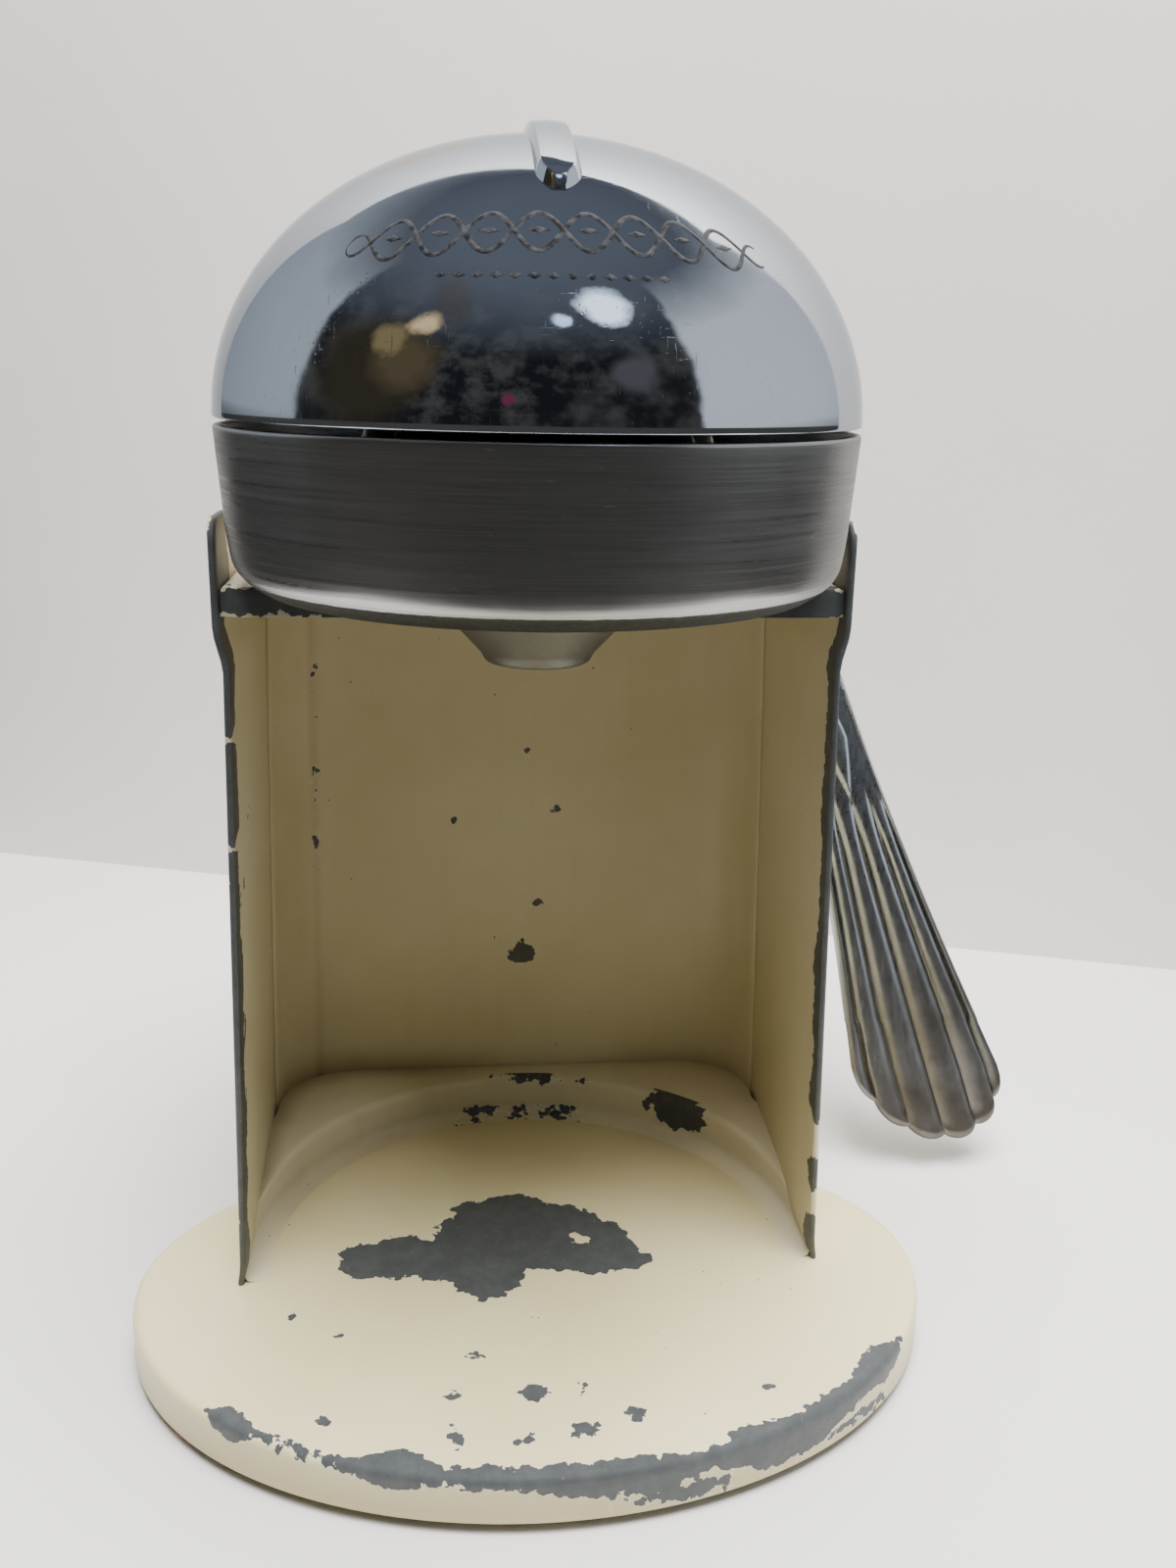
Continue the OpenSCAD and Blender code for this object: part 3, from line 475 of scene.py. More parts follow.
class Shader(Graph):
    """A material with one Principled shader."""

    def __init__(self, name: str) -> None:
        """Makes the material, with nothing but the shader in it."""
        self.material = bpy.data.materials.new(name)
        self.material.use_nodes = True
        super().__init__(self.material.node_tree, "Object")
        self.bsdf = next(n for n in self.tree.nodes if n.type == "BSDF_PRINCIPLED")

    def set(self, **values: object) -> None:
        """Puts values on the Principled shader's inputs, named with underscores."""
        for key, value in values.items():
            self.link(self.bsdf.inputs[key.replace("_", " ")], value)

    def bump(self, height: object, distance_mm: float, strength: float = 1.0) -> None:
        """Adds relief of a given depth on top of what is there."""
        node = self.add("ShaderNodeBump")
        node.inputs["Strength"].default_value = strength
        node.inputs["Distance"].default_value = distance_mm * MM
        self.link(node.inputs["Height"], height)
        before = self.bsdf.inputs["Normal"].links
        if before:
            self.link(node.inputs["Normal"], before[0].from_socket)
        self.link(self.bsdf.inputs["Normal"], node.outputs["Normal"])


@dataclass(frozen=True)
class Finish:
    """A named material, which each kind of finish paints in its own way."""

    name: str

    def build(self) -> Material:
        """Makes the material."""
        shader = Shader(self.name)
        self.paint(shader)
        return shader.material

    def paint(self, s: Shader) -> None:
        """Sets the shader's inputs."""
        raise NotImplementedError


@dataclass(frozen=True)
class Enamel(Finish):
    """Old glossy enamel over a dark primer, which shows where it has chipped off.

    The mesh's "chip" value is the distance to the edge of a chip in millimetres, and
    its stain value is how brown the enamel is made: real staining, and in places painted shade.
    """

    cream: Colour = (0.725, 0.655, 0.44, 1)
    pale: Colour = (0.785, 0.725, 0.53, 1)
    # brown for real stains, also used for painted shade
    stain: Colour = (0.27, 0.19, 0.075, 1)
    primer: Colour = (0.062, 0.068, 0.070, 1)
    primer_light: Colour = (0.082, 0.090, 0.093, 1)
    streaks: float = 0.0

    def paint(self, s: Shader) -> None:
        """Sets the shader's inputs."""
        ragged = s.about_zero(s.noise(260, 5, 0.68), 0.5, 5.2)
        teeth = s.about_zero(s.cells(520), 0.42, 1.5)
        edge = s.plus(s.plus(s.attribute("chip"), ragged), teeth)
        specks = s.ramp(s.cells(210), 0.035, 0.05, 1, 0)
        speck_here = s.ramp(s.noise(38, 2), 0.56, 0.6)
        bare = s.ramp(edge, -0.03, 0.03, 1, 0)
        near = s.ramp(edge, 0.0, 0.45, 1, 0)
        cloud = s.noise(26, 3)
        body = s.mix(s.ramp(cloud, 0.35, 0.65), self.cream, self.pale)
        # browns the enamel by the stain value: real staining plus the painted shade the pieces put into it
        stain_shade_mix = s.mul(s.attribute("stain"), s.ramp(s.noise(55, 2.5, 0.5), 0.3, 0.7, 0.8, 1.15))
        if self.streaks:
            runs = s.streaks((240, 240, 5), 4)
            stain_shade_mix = s.plus(stain_shade_mix, s.ramp(runs, 0.52, 0.75, 0, self.streaks))
        body = s.mix(stain_shade_mix, body, self.stain)
        body = s.mix(s.mul(specks, speck_here), body, (0.16, 0.09, 0.03, 1))
        body = s.mix(s.mul(near, 0.35), body, (0.90, 0.88, 0.80, 1))
        dark = s.mix(s.ramp(s.noise(310, 4, 0.7), 0.4, 0.68), self.primer, self.primer_light)
        scuffs = s.ramp(s.streaks((2600, 500, 900), 3), 0.70, 0.74)
        dark = s.mix(s.mul(scuffs, 0.5), dark, (0.30, 0.30, 0.27, 1))
        s.set(Base_Color=s.mix(bare, body, dark))
        worn = s.ramp(s.noise(38, 2), 0.2, 0.8, 0, 0.07)
        s.set(Roughness=s.plus(s.ramp(bare, 0, 1, 0.34, 0.52), worn))
        s.set(Coat_Weight=0.10, Coat_Roughness=0.24, IOR=1.5)
        s.bump(s.ramp(edge, -0.06, 0.06), 0.14, 0.9)
        s.bump(s.noise(130, 2), 0.03, 0.12)


@dataclass(frozen=True)
class Chrome(Finish):
    """Bright plating with fine pits, hairline scratches and a few dull clouds."""

    colour: Colour = (0.53, 0.565, 0.615, 1)
    gloss: float = 0.035
    haze: float = 0.10
    pits: float = 0.5

    def paint(self, s: Shader) -> None:
        """Sets the shader's inputs."""
        pit = s.ramp(s.cells(900), 0.10, 0.2, 1, 0)
        where = s.ramp(s.noise(60, 4, 0.7), 0.5, 0.68, 0, self.pits)
        pit = s.mul(pit, where)
        lines = s.ramp(s.streaks((4000, 260, 300), 2, 0.5), 0.69, 0.71)
        crossing = s.ramp(s.streaks((240, 1800, 3600), 2, 0.5), 0.70, 0.72)
        scratch = s.mul(s.math("MAXIMUM", lines, crossing), s.ramp(s.noise(45, 3), 0.45, 0.6))
        dull = s.ramp(s.noise(34, 5, 0.65), 0.42, 0.7, 0, self.haze)
        marks = s.plus(s.mul(pit, 0.35), s.mul(scratch, 0.22))
        s.set(Metallic=1.0)
        s.set(Roughness=s.plus(s.plus(dull, self.gloss), marks))
        tone = s.mix(s.ramp(s.noise(22, 4), 0.35, 0.7), self.colour, shade(self.colour, 0.9))
        tone = s.mix(pit, tone, (0.30, 0.27, 0.22, 1))
        s.set(Base_Color=s.mix(s.attribute("residue"), tone, (0.55, 0.50, 0.42, 1)))
        s.set(Specular_Tint=(0.60, 0.63, 0.67, 1))
        s.bump(s.plus(s.mul(pit, -1.0), s.mul(scratch, -0.6)), 0.02, 0.4)


@dataclass(frozen=True)
class WornChrome(Finish):
    """Dull plating on a cast lever, browner and rougher towards its end."""

    bright: Colour = (0.56, 0.60, 0.64, 1)
    worn: Colour = (0.135, 0.123, 0.108, 1)
    rubbed: Colour = (0.40, 0.385, 0.36, 1)
    pitted: Colour = (0.20, 0.17, 0.14, 1)

    def paint(self, s: Shader) -> None:
        """Sets the shader's inputs."""
        worn = s.plus(s.attribute("along"), s.about_zero(s.noise(70, 4), 0.5, 0.6))
        dull = s.ramp(worn, 0.35, 0.95)
        grooves = s.attribute("groove")
        pit = s.ramp(s.cells(1300), 0.12, 0.24, 1, 0)
        pit = s.mul(pit, s.ramp(s.noise(150, 3), 0.45, 0.65))
        metal = s.mix(dull, self.bright, self.worn)
        metal = s.mix(s.mul(grooves, 0.55), metal, self.rubbed)
        s.set(Base_Color=s.mix(pit, metal, self.pitted), Metallic=1.0,
              Specular_Tint=(0.60, 0.60, 0.60, 1))
        streak = s.streaks((900, 900, 60), 3)
        s.set(Roughness=s.plus(s.ramp(dull, 0, 1, 0.20, 0.40), s.ramp(streak, 0.3, 0.7, 0, 0.14)))
        s.bump(s.math("SUBTRACT", s.noise(700, 4), pit), 0.03, 0.4)


@dataclass(frozen=True)
class BrushedMetal(Finish):
    """Satin aluminium brushed around the cup, rougher and darker where "cast" is 1."""

    colour: Colour = (0.32, 0.32, 0.32, 1)
    cast: Colour = (0.085, 0.085, 0.080, 1)
    brush: tuple[float, float, float] = (45, 45, 5200)

    def paint(self, s: Shader) -> None:
        """Sets the shader's inputs."""
        fine = s.streaks(self.brush, 4, 0.65)
        coarse = s.streaks(tuple(0.3 * c for c in self.brush))
        rough_here = s.ramp(s.plus(s.attribute("cast"),
                                   s.about_zero(s.noise(500, 4), 0.5, 0.5)), 0.42, 0.58)
        grit = s.noise(1500, 5, 0.7)
        nicks = s.mul(s.ramp(s.streaks((300, 300, 2400), 2, 0.5), 0.70, 0.73),
                       s.ramp(s.noise(40, 2), 0.48, 0.6))
        tone = s.mix(s.ramp(fine, 0.3, 0.7), self.colour, shade(self.colour, 1.45))
        tone = s.mix(s.mul(nicks, 0.6), tone, (0.75, 0.74, 0.72, 1))
        rough_tone = s.mix(s.ramp(grit, 0.35, 0.65), shade(self.cast, 0.6), self.cast)
        s.set(Base_Color=s.mix(rough_here, tone, rough_tone), Metallic=1.0,
              Specular_Tint=(0.58, 0.58, 0.58, 1))
        smooth = s.plus(s.ramp(coarse, 0.3, 0.7, 0.24, 0.38), s.ramp(s.noise(30, 4), 0.4, 0.7, 0, 0.12))
        s.set(Roughness=s.plus(smooth, s.mul(rough_here, 0.22)))
        s.bump(fine, 0.012, 0.5)
        s.bump(s.mul(grit, rough_here), 0.12, 0.7)


@dataclass(frozen=True)
class CastMetal(Finish):
    """Dull grey casting with a sandy skin and a few dark stains."""

    colour: Colour = (0.20, 0.20, 0.18, 1)
    roughness: float = 0.48
    grain: float = 900

    def paint(self, s: Shader) -> None:
        """Sets the shader's inputs."""
        grain = s.noise(self.grain, 5, 0.7)
        cloud = s.ramp(s.noise(70, 4), 0.35, 0.7)
        tone = s.mix(s.ramp(grain, 0.3, 0.7), shade(self.colour, 0.75), self.colour)
        s.set(Base_Color=s.mix(s.mul(cloud, 0.45), tone, (0.14, 0.13, 0.11, 1)), Metallic=1.0)
        s.set(Roughness=s.ramp(grain, 0.2, 0.8, self.roughness - 0.08, self.roughness + 0.14))
        s.bump(grain, 0.06, 0.6)


@dataclass(frozen=True)
class PlatedSteel(Finish):
    """Zinc plate or bare brass of the works: turned lines, spangle and grease stains."""

    colour: Colour = (0.50, 0.51, 0.52, 1)
    tarnish: Colour = (0.20, 0.17, 0.13, 1)

    def paint(self, s: Shader) -> None:
        """Sets the shader's inputs."""
        spangle = s.cells(260)
        turned = s.streaks((3600, 420, 420), 3)
        grease = s.ramp(s.noise(85, 5, 0.7), 0.5, 0.72, 0, 0.75)
        tone = s.mix(s.ramp(spangle, 0.1, 0.7), self.colour, shade(self.colour, 0.82))
        s.set(Base_Color=s.mix(grease, tone, self.tarnish), Metallic=1.0)
        s.set(Roughness=s.plus(s.ramp(turned, 0.3, 0.7, 0.26, 0.42), s.mul(grease, 0.2)))
        s.bump(turned, 0.015, 0.4)


@dataclass(frozen=True)
class Rubber(Finish):
    """Matt red rubber, dusty and slightly cracked."""

    def paint(self, s: Shader) -> None:
        """Sets the shader's inputs."""
        dust = s.ramp(s.noise(260, 5, 0.7), 0.45, 0.75)
        s.set(Base_Color=s.mix(dust, (0.30, 0.045, 0.03, 1), (0.36, 0.16, 0.12, 1)))
        s.set(Roughness=s.ramp(dust, 0, 1, 0.62, 0.85))
        s.bump(s.noise(1400, 4), 0.05, 0.5)


@dataclass(frozen=True)
class EngravedLine(Finish):
    """Dark line left in the plating by an engraver's tool."""

    def paint(self, s: Shader) -> None:
        """Sets the shader's inputs."""
        fill = s.ramp(s.noise(900, 4), 0.4, 0.65)
        s.set(Base_Color=s.mix(fill, (0.030, 0.032, 0.035, 1), (0.11, 0.11, 0.12, 1)), Metallic=0.7)
        s.set(Roughness=s.ramp(fill, 0, 1, 0.35, 0.6))


# ---- Sub-assemblies ----


@dataclass
class Base:
    """Enamelled pan: a half ellipse in front, and a lip around the foot of the housing."""

    box: NodeBox = field(default_factory=lambda: NodeBox.of("base"))
    wide_y: float = -2.3
    rear_depth: float = 46.5
    skirt_h: float = 8.6
    edge_r: float = 1.9
    lip_half: float = 57.3
    corner_r: float = 31.5
    centre_y: float = 8.0
    blend: float = 1.2
    rolled_in: float = 6.0
    step_h: float = 8.0
    floor_r: float = 55.0
    floor_y: float = 4.0
    step_end_deg: float = 97.5
    step_rows: int = 11
    sheet_t: float = 1.2

    # the big bare patch on the floor, as overlapping ellipses
    floor_patch: tuple[Blob, ...] = (
        Blob(-32, 2.5, 6, 6), Blob(-25.5, 3, 8, 7.2), Blob(-19, 1.5, 6, 7), Blob(-15, 6, 5, 10),
        Blob(-9, 3, 9, 14.5), Blob(-3, 13, 10.5, 10.5), Blob(4, 8, 12.5, 12), Blob(12, 4, 9, 9.5),
        Blob(18, -1, 5.5, 4), Blob(-11.5, 17.5, 4.5, 4))
    floor_fleck: Blob = Blob(10.2, 6.4, 1.1, 1.0)
    small_chips: tuple[Blob, ...] = (
        Blob(-2.1, -37.9, 2.3, 2.4), Blob(6.9, -37, 1.5, 1.2), Blob(-16.3, -37.5, 1.3, 1.1),
        Blob(-15.6, -46.9, 1.3, 2.2), Blob(-3.7, -48.6, 1.9, 1.5), Blob(5.3, -47.2, 2.4, 2.0),
        Blob(14.7, -44.8, 1.2, 2.0), Blob(-0.7, -17.3, 1.8, 0.9), Blob(-11.5, -27.3, 1.2, 1.0),
        Blob(-36, -20, 1.3, 1.0), Blob(38.6, -39.3, 0.9, 0.9), Blob(-37.8, -41.9, 1.2, 1.0),
        Blob(-45, -14, 0.9, 0.8), Blob(30, -24, 0.8, 0.7))

    @property
    def top(self) -> float:
        """Height of the pan's upper face."""
        return self.box.high[2] - self.step_h

    def reach(self, angle: Array) -> Array:
        """Distance of the outline from the middle of the pan, in a direction.

        It is the larger of the ellipses' reach and the reach of the lip around the
        housing. Angle 0 points to the front and grows to the right.
        """
        dx, dy = np.sin(angle), -np.cos(angle)
        half_w = self.box.high[0]
        offset = self.centre_y - self.wide_y

        def ellipse(depth: float) -> Array:
            a = (dx / half_w) ** 2 + (dy / depth) ** 2
            b = dy * offset / depth ** 2
            c = (offset / depth) ** 2 - 1
            return (-b + np.sqrt(np.maximum(b * b - a * c, 0))) / a

        front = ellipse(-self.box.low[1] + self.wide_y)
        rear = ellipse(self.rear_depth)
        oval = np.where(self.centre_y + front * dy < self.wide_y, front, rear)
        lip = box_reach(dx, dy, self.lip_half, self.box.high[1] - self.centre_y, math.inf, self.corner_r)
        return np.logaddexp(oval / self.blend, np.where(dy > 0, lip, 0) / self.blend) * self.blend

    def chip_at(self, x: Array, y: Array, z: Array, angle: Array) -> Array:
        """Distance to the nearest chip on the pan's outside.

        Besides the floor's patches there is a worn strip along the front edge, whose
        width wanders with the angle, and which runs down over the skirt on the right.
        """
        turn = np.degrees((angle + np.pi) % (2 * np.pi) - np.pi)
        spots = chip_field(self.floor_patch + self.small_chips, x, y)
        spots = np.maximum(spots, 0.4 - self.floor_fleck.distance(x, y))
        inward = self.reach(angle) - np.hypot(x, y - self.centre_y)
        down = self.top - z
        wander = np.sin(turn / 4.3 + 0.6) + 0.8 * np.sin(turn / 9.7 + 2.0) + 0.5 * np.sin(turn / 2.1)
        ends = np.maximum(np.abs(turn - 4) - 51, 0) * 0.5
        width = 3.0 + 1.0 * wander * smooth_step(np.abs(turn), 2, 20) + 1.6 * np.exp(-((turn + 22) / 4) ** 2)
        strip_top = inward - width + ends
        depth = 2.1 + 0.9 * wander + 4.5 * np.exp(-((turn - 15) / 8) ** 2) \
            + 5.5 * np.exp(-((turn - 37) / 11) ** 2)
        strip_side = down - np.maximum(depth, 0.8) + ends
        scar = Blob(19, 6.2, 7, 1.8).distance(turn, down)
        foot = Blob(48, 6.5, 9, 1.2).distance(turn, down)
        return np.minimum.reduce([spots, np.maximum(strip_top, strip_side), scar, foot])

    def make(self, finish: Material) -> None:
        """Builds the pan as a profile of insets and heights carried around its outline."""
        angle = full_turn(400)
        reach = self.reach(angle)
        low = self.box.low[2]
        inner = np.linspace(0.0, 1.0, 78)
        edge = round_profile([(self.rolled_in, 0, 0), (0, 0, self.edge_r), (0.15, -(self.skirt_h - 1.2), 0.9),
                              (0, -self.skirt_h, 0.3), (self.sheet_t, -self.skirt_h, 0.3),
                              (self.sheet_t, -self.sheet_t, 0.8), (self.rolled_in, -self.sheet_t, 0)], 0.8)
        flat = inner[:, None] * (reach - self.rolled_in)
        rolled = reach - edge[:, :1]
        under = inner[::-1, None] * (reach - self.rolled_in)
        radius = np.concatenate([flat[:-1], rolled, under[1:]])
        height = np.concatenate([np.full(len(inner) - 1, self.top), self.top + edge[:, 1],
                                 np.full(len(inner) - 1, self.top - self.sheet_t)])
        x = radius * np.sin(angle)
        y = self.centre_y - radius * np.cos(angle)
        z = np.maximum(height, low)[:, None] + 0 * angle  # one height for every angle
        outside = (np.arange(len(height)) < len(inner) + len(edge) // 2)[:, None]
        chip = np.where(outside, self.chip_at(x, y, z, angle[None, :]), NO_CHIP)
        skirt = np.clip((self.top - z) / self.skirt_h, 0, 1)
        turn = np.degrees((angle + np.pi) % (2 * np.pi) - np.pi)
        # painted shade: the bay floor darkens towards the rear, where the cup's shade falls
        bay = smooth_step(y, -4, 62) * (np.abs(x) < 54)
        corners = np.exp(-((np.hypot(x, y - self.floor_y) - self.floor_r) / 7) ** 2) * smooth_step(y, 8, 30)
        # the skirt darkens and browns towards its lower edge, most at the front left: painted contact shade
        # along the shadow line under the base; the line at the step's foot at the rear is darker too
        stain = 0.06 + 0.42 * skirt ** 1.3 + 0.10 * bay + 0.22 * corners
        stain = stain + 0.12 * np.exp(-((turn + 45) / 25) ** 2) * skirt
        add_piece("base_pan", [Patch(xyz(x, y, z), True, {"chip": chip, "stain": stain})],
                  "stand", finish, Slot.BASE, ["base"])

    def step_chip(self, angle: Array, drop: Array, top: Array) -> Array:
        """Distance to the chips on the step: along its rounded edge, at its foot, and in a corner."""
        turn = np.degrees(angle)
        edge_spots = (Blob(3.5, 0.2, 6.5, 1.0), Blob(16, 0.1, 1.0, 0.6))
        foot_spots = (Blob(-10.5, 7.2, 5, 0.9), Blob(1.5, 7.3, 4.0, 0.6), Blob(12, 7.2, 3.2, 0.9))
        corner = (Blob(41, 2.6, 8.5, 4.2),)
        arc_mm = self.floor_r * math.pi / 180
        near = chip_field([Blob(b.a * arc_mm, b.b, b.ra * arc_mm, b.rb)
                           for b in edge_spots + foot_spots + corner], turn * arc_mm, drop)
        return np.where(top, NO_CHIP, near)

    def make_step(self, finish: Material, panel: "Housing") -> None:
        """Builds the raised step around the floor: a riser on an arc, a rolled edge and a flat."""
        end = math.radians(self.step_end_deg)
        angle = np.linspace(-end, end, 220)
        rise = round_profile([(-4.5, 0, 0), (0, 0, 3.2), (0.8, self.step_h, 2.2), (4, self.step_h, 0)], 0.5)
        dx, dy = np.sin(angle), np.cos(angle)
        half = panel.inner_half(self.top + self.step_h) + 0.3
        wall = half + panel.panel_t + 0.5
        rear = panel.panel_y + 0.2
        outer = box_reach(dx, dy, half, rear - self.floor_y, math.inf, panel.panel_r)
        beside = smooth_step(self.floor_y + outer * dy, 40, 48)
        outer = outer + (1 - beside) * (wall - half) / np.maximum(np.abs(dx), 0.7)
        outer = np.maximum(outer, self.floor_r)
        share = np.linspace(0, 1, self.step_rows + 1)[1:, None]
        inner_r = np.minimum(self.floor_r + rise[:, :1], outer)
        flat_r = inner_r[-1] + (outer - inner_r[-1]) * share
        radius = np.concatenate([inner_r, flat_r])
        height = np.concatenate([rise[:, 1], np.full(self.step_rows, self.step_h)])
        x = radius * dx
        y = self.floor_y + radius * dy
        low_end = 1 - 0.55 * smooth_step(np.abs(np.degrees(angle)), 50, 97)
        z = self.top + 0.02 + height[:, None] * low_end
        drop = self.step_h - height[:, None] + 0 * angle
        is_top = (np.arange(len(height)) >= len(rise) - 2)[:, None] & (drop < 0.01)
        chip = self.step_chip(angle[None, :] + 0 * drop, drop, is_top)
        back = smooth_step(radius / np.maximum(outer, 1), 0.90, 1.0) * (height[:, None] > 0.95 * self.step_h)
        turn = np.degrees(angle)
        # weight of the painted shade on the left of the bay, which lies away from the lights
        left_shade = smooth_step(-turn, -10, 50)
        ends = 1 - smooth_step(np.abs(turn), 60, 95)
        foot = np.exp(-((drop - self.step_h) / 2.4) ** 2)
        # darker along the wall at the back and at the riser's foot; the extra on the left is painted shade
        stain = 0.06 + (0.15 + 0.40 * left_shade) * back + ((0.06 + 0.24 * left_shade) * foot + 0.06 * left_shade) * ends
        add_piece("bay_step", [Patch(xyz(x, y, z), False, {"chip": chip, "stain": stain})],
                  "stand", finish, Slot.BASE, ["base"])


@dataclass
class Housing:
    """The upright: a sheet bent into a U, its collar, the panel inside it and the cup's shelf."""

    box: NodeBox = field(default_factory=lambda: NodeBox.of("housing"))
    half_w: float = 52.9
    splay: float = 2.9
    flare: float = 1.4
    corner_r: float = 30.0
    sheet_t: float = 1.2
    collar_z: float = 137.0
    shoulder_z: float = 129.0
    ear_r: float = 3.5
    panel_y: float = 66.0
    panel_t: float = 0.9
    panel_r: float = 14.0
    panel_flange: float = 2.0
    crease_s: float = 17.0
    shelf_z: float = 143.6
    shelf_t: float = 1.2
    shelf_lip: float = 5.0
    shelf_hole_r: float = 30.0
    gap: float = 0.1

    @property
    def foot_z(self) -> float:
        """Height of the housing's foot."""
        return self.box.low[2]

    def grow(self, z: Array) -> tuple[Array, Array]:
        """How far the side walls, and the whole outline, stand out at a height.

        The side walls lean out evenly towards the foot, with a small flare at the very
        foot; the collar stands out all round above a soft shoulder.
        """
        lean = self.splay * np.clip((self.shoulder_z - z) / (self.shoulder_z - self.foot_z), 0, 1)
        flare = 0.5 * np.clip((self.foot_z + 5 - z) / 5, 0, 1) ** 2
        return lean + flare, self.flare * smooth_step(z, self.shoulder_z, self.collar_z)

    def inner_half(self, z: float) -> float:
        """Half width of the bay between the panel's sides at a height."""
        lean, _ = self.grow(np.array(z))
        return self.half_w - self.sheet_t - self.gap - self.panel_t + float(lean)

    def sheet(self, rows_z: Array, line: Callable[[Array, Array], tuple[Array, Array]],
              along: Array, edge_mm: Array, thickness: float,
              paint: Callable[[Array, Array, int], dict[str, Array]]) -> list[Patch]:
        """Shapes a bent sheet: its two faces lie half a thickness either side of a middle surface.

        Args:
            rows_z: Heights of the rows.
            line: Gives the middle surface's plan points and normals from heights and places along.
            along: Places along the plan line.
            edge_mm: Distance of each grid point from the nearest cut edge.
            thickness: Thickness of the sheet.
            paint: Gives the named values from points, places along and side (+1 outside).

        Returns:
            The outer and the inner face.
        """
        z, s = np.meshgrid(rows_z, along, indexing="ij")
        plan, normal = line(z, s)
        half = (thickness / 2 * edge_roundness(edge_mm, thickness))[..., None]
        patches = []
        for side in (1, -1):
            points = np.concatenate([plan + side * half * normal, z[..., None]], axis=-1)
            patches.append(Patch(points, False, paint(points, s, side)))
        return patches

    def outer_chips(self, points: Array, side: int) -> Array:
        """Distance to the chips on the upright: worn front and top edges, and spots inside."""
        x, y, z = points[..., 0], points[..., 1], points[..., 2]
        right = x > 0
        wander = np.sin(z / 5.1) + 0.7 * np.sin(z / 2.3 + 1.0) + 0.5 * np.sin(z / 11.0 + 2.0)
        front = y - self.box.low[1]
        gaps = np.where(right, np.exp(-((z - 37.3) / 4.7) ** 4) + np.exp(-((z - 23.5) / 2.9) ** 4),
                        0.8 * np.exp(-((z - 118) / 1.2) ** 4) + 0.9 * np.exp(-((z - 98) / 0.9) ** 4))
        inner = np.where(right, 4.2, 6.0) + 9.0 * smooth_step(z, 139, 143)
        width = (2.2 if side > 0 else inner) + 0.8 * wander
        width = width * (1 - gaps) - 1.5 * gaps
        edge_wear = front - width
        top_wear = (self.box.high[2] - z) - (1.1 + 0.7 * wander)
        spots_left = (Blob(48.6, 102.6, 1.6, 0.9), Blob(14.2, 99.2, 1.4, 1.6), Blob(7, 88, 1.1, 1.4),
                      Blob(20, 101, 1.0, 0.6), Blob(4, 62, 0.7, 1.8), Blob(3, 48, 0.6, 1.6))
        near = np.where(right, NO_CHIP, chip_field(spots_left, y, z))
        return np.minimum.reduce([edge_wear, top_wear, near])

    def make_shell(self, finish: Material) -> None:
        """Builds the upright's outer sheet with its shoulder, collar and rounded ears."""
        top = self.box.high[2]
        front = self.box.low[1]
        side_run = self.box.high[1] - self.corner_r - front
        half_line = self.half_w - self.corner_r + self.corner_r * np.pi / 2 + side_run
        along = graded(-half_line, half_line, 2.6, self.sheet_t / 2)
        rows = graded(self.foot_z, top, 1.9, self.sheet_t / 2)

        def line(z: Array, s: Array) -> tuple[Array, Array]:
            lean, out = self.grow(z)
            plan, normal = u_line(self.half_w - self.sheet_t / 2 + 0 * z, front,
                                  self.box.high[1] - self.flare - self.sheet_t / 2,
                                  self.corner_r - self.sheet_t / 2, s)
            ear = np.maximum(0, z - (top - self.ear_r))
            back_off = self.ear_r - np.sqrt(np.maximum(self.ear_r ** 2 - ear ** 2, 0))
            share = np.clip((np.abs(s) - (half_line - side_run)) / side_run, 0, 1)
            reach = share * side_run
            y = self.box.high[1] - self.corner_r - reach * (side_run - back_off) / side_run
            straight = share > 0
            plan[..., 1] = np.where(straight, y, plan[..., 1])
            spread = smooth_step(np.abs(normal[..., 0]), 0.0, 1.0)
            plan[..., 0] += np.sign(plan[..., 0]) * lean * spread
            return plan + out[..., None] * normal, normal

        z, s = np.meshgrid(rows, along, indexing="ij")
        edge = np.minimum.reduce([half_line - np.abs(s), top - z, z - self.foot_z])

        def paint(points: Array, s: Array, side: int) -> dict[str, Array]:
            chip = self.outer_chips(points, side)
            low = np.exp(-(points[..., 2] - self.foot_z) / 9)
            deep = smooth_step(points[..., 1], 5, 60)
            # inside, the stain deepens towards the rear of the bay as painted shade where the cup's shade
            # falls; it is also browner on the right, and both faces darken near the foot
            inside = 0.08 + 0.16 * low + 0.06 * deep + 0.06 * (points[..., 0] > 0)
            outside = 0.10 + 0.22 * low
            return {"chip": chip, "stain": inside if side < 0 else outside}

        patches = self.sheet(rows, line, along, edge, self.sheet_t, paint)
        add_piece("upright_shell", patches, "stand", finish, Slot.HOUSING, ["housing"])

    def make_panel(self, finish: Material) -> None:
        """Builds the curved back panel of the bay, with its round corners and narrow flanges."""
        top = self.shelf_z - self.shelf_t - self.gap
        thickness = self.panel_t
        radius = self.panel_r + thickness / 2
        rear = self.panel_y + thickness / 2
        half = self.half_w - self.sheet_t - self.gap - thickness / 2
        half_line = half - radius + radius * np.pi / 2 + self.panel_flange
        along = graded(-half_line, half_line, 1.6, thickness / 2)
        rows = graded(self.foot_z, top, 2.0, thickness / 2)

        def line(z: Array, s: Array) -> tuple[Array, Array]:
            lean, _ = self.grow(z)
            plan, normal = u_line(half + 0 * z, -1e6, rear, radius, s)
            thin = 1 - edge_roundness(0.1 * (half_line - np.abs(s)), thickness)
            plan = plan + (thickness / 2 * thin)[..., None] * normal
            spread = smooth_step(np.abs(normal[..., 0]), 0.0, 1.0)
            plan[..., 0] += np.sign(plan[..., 0]) * lean * spread
            return plan, normal

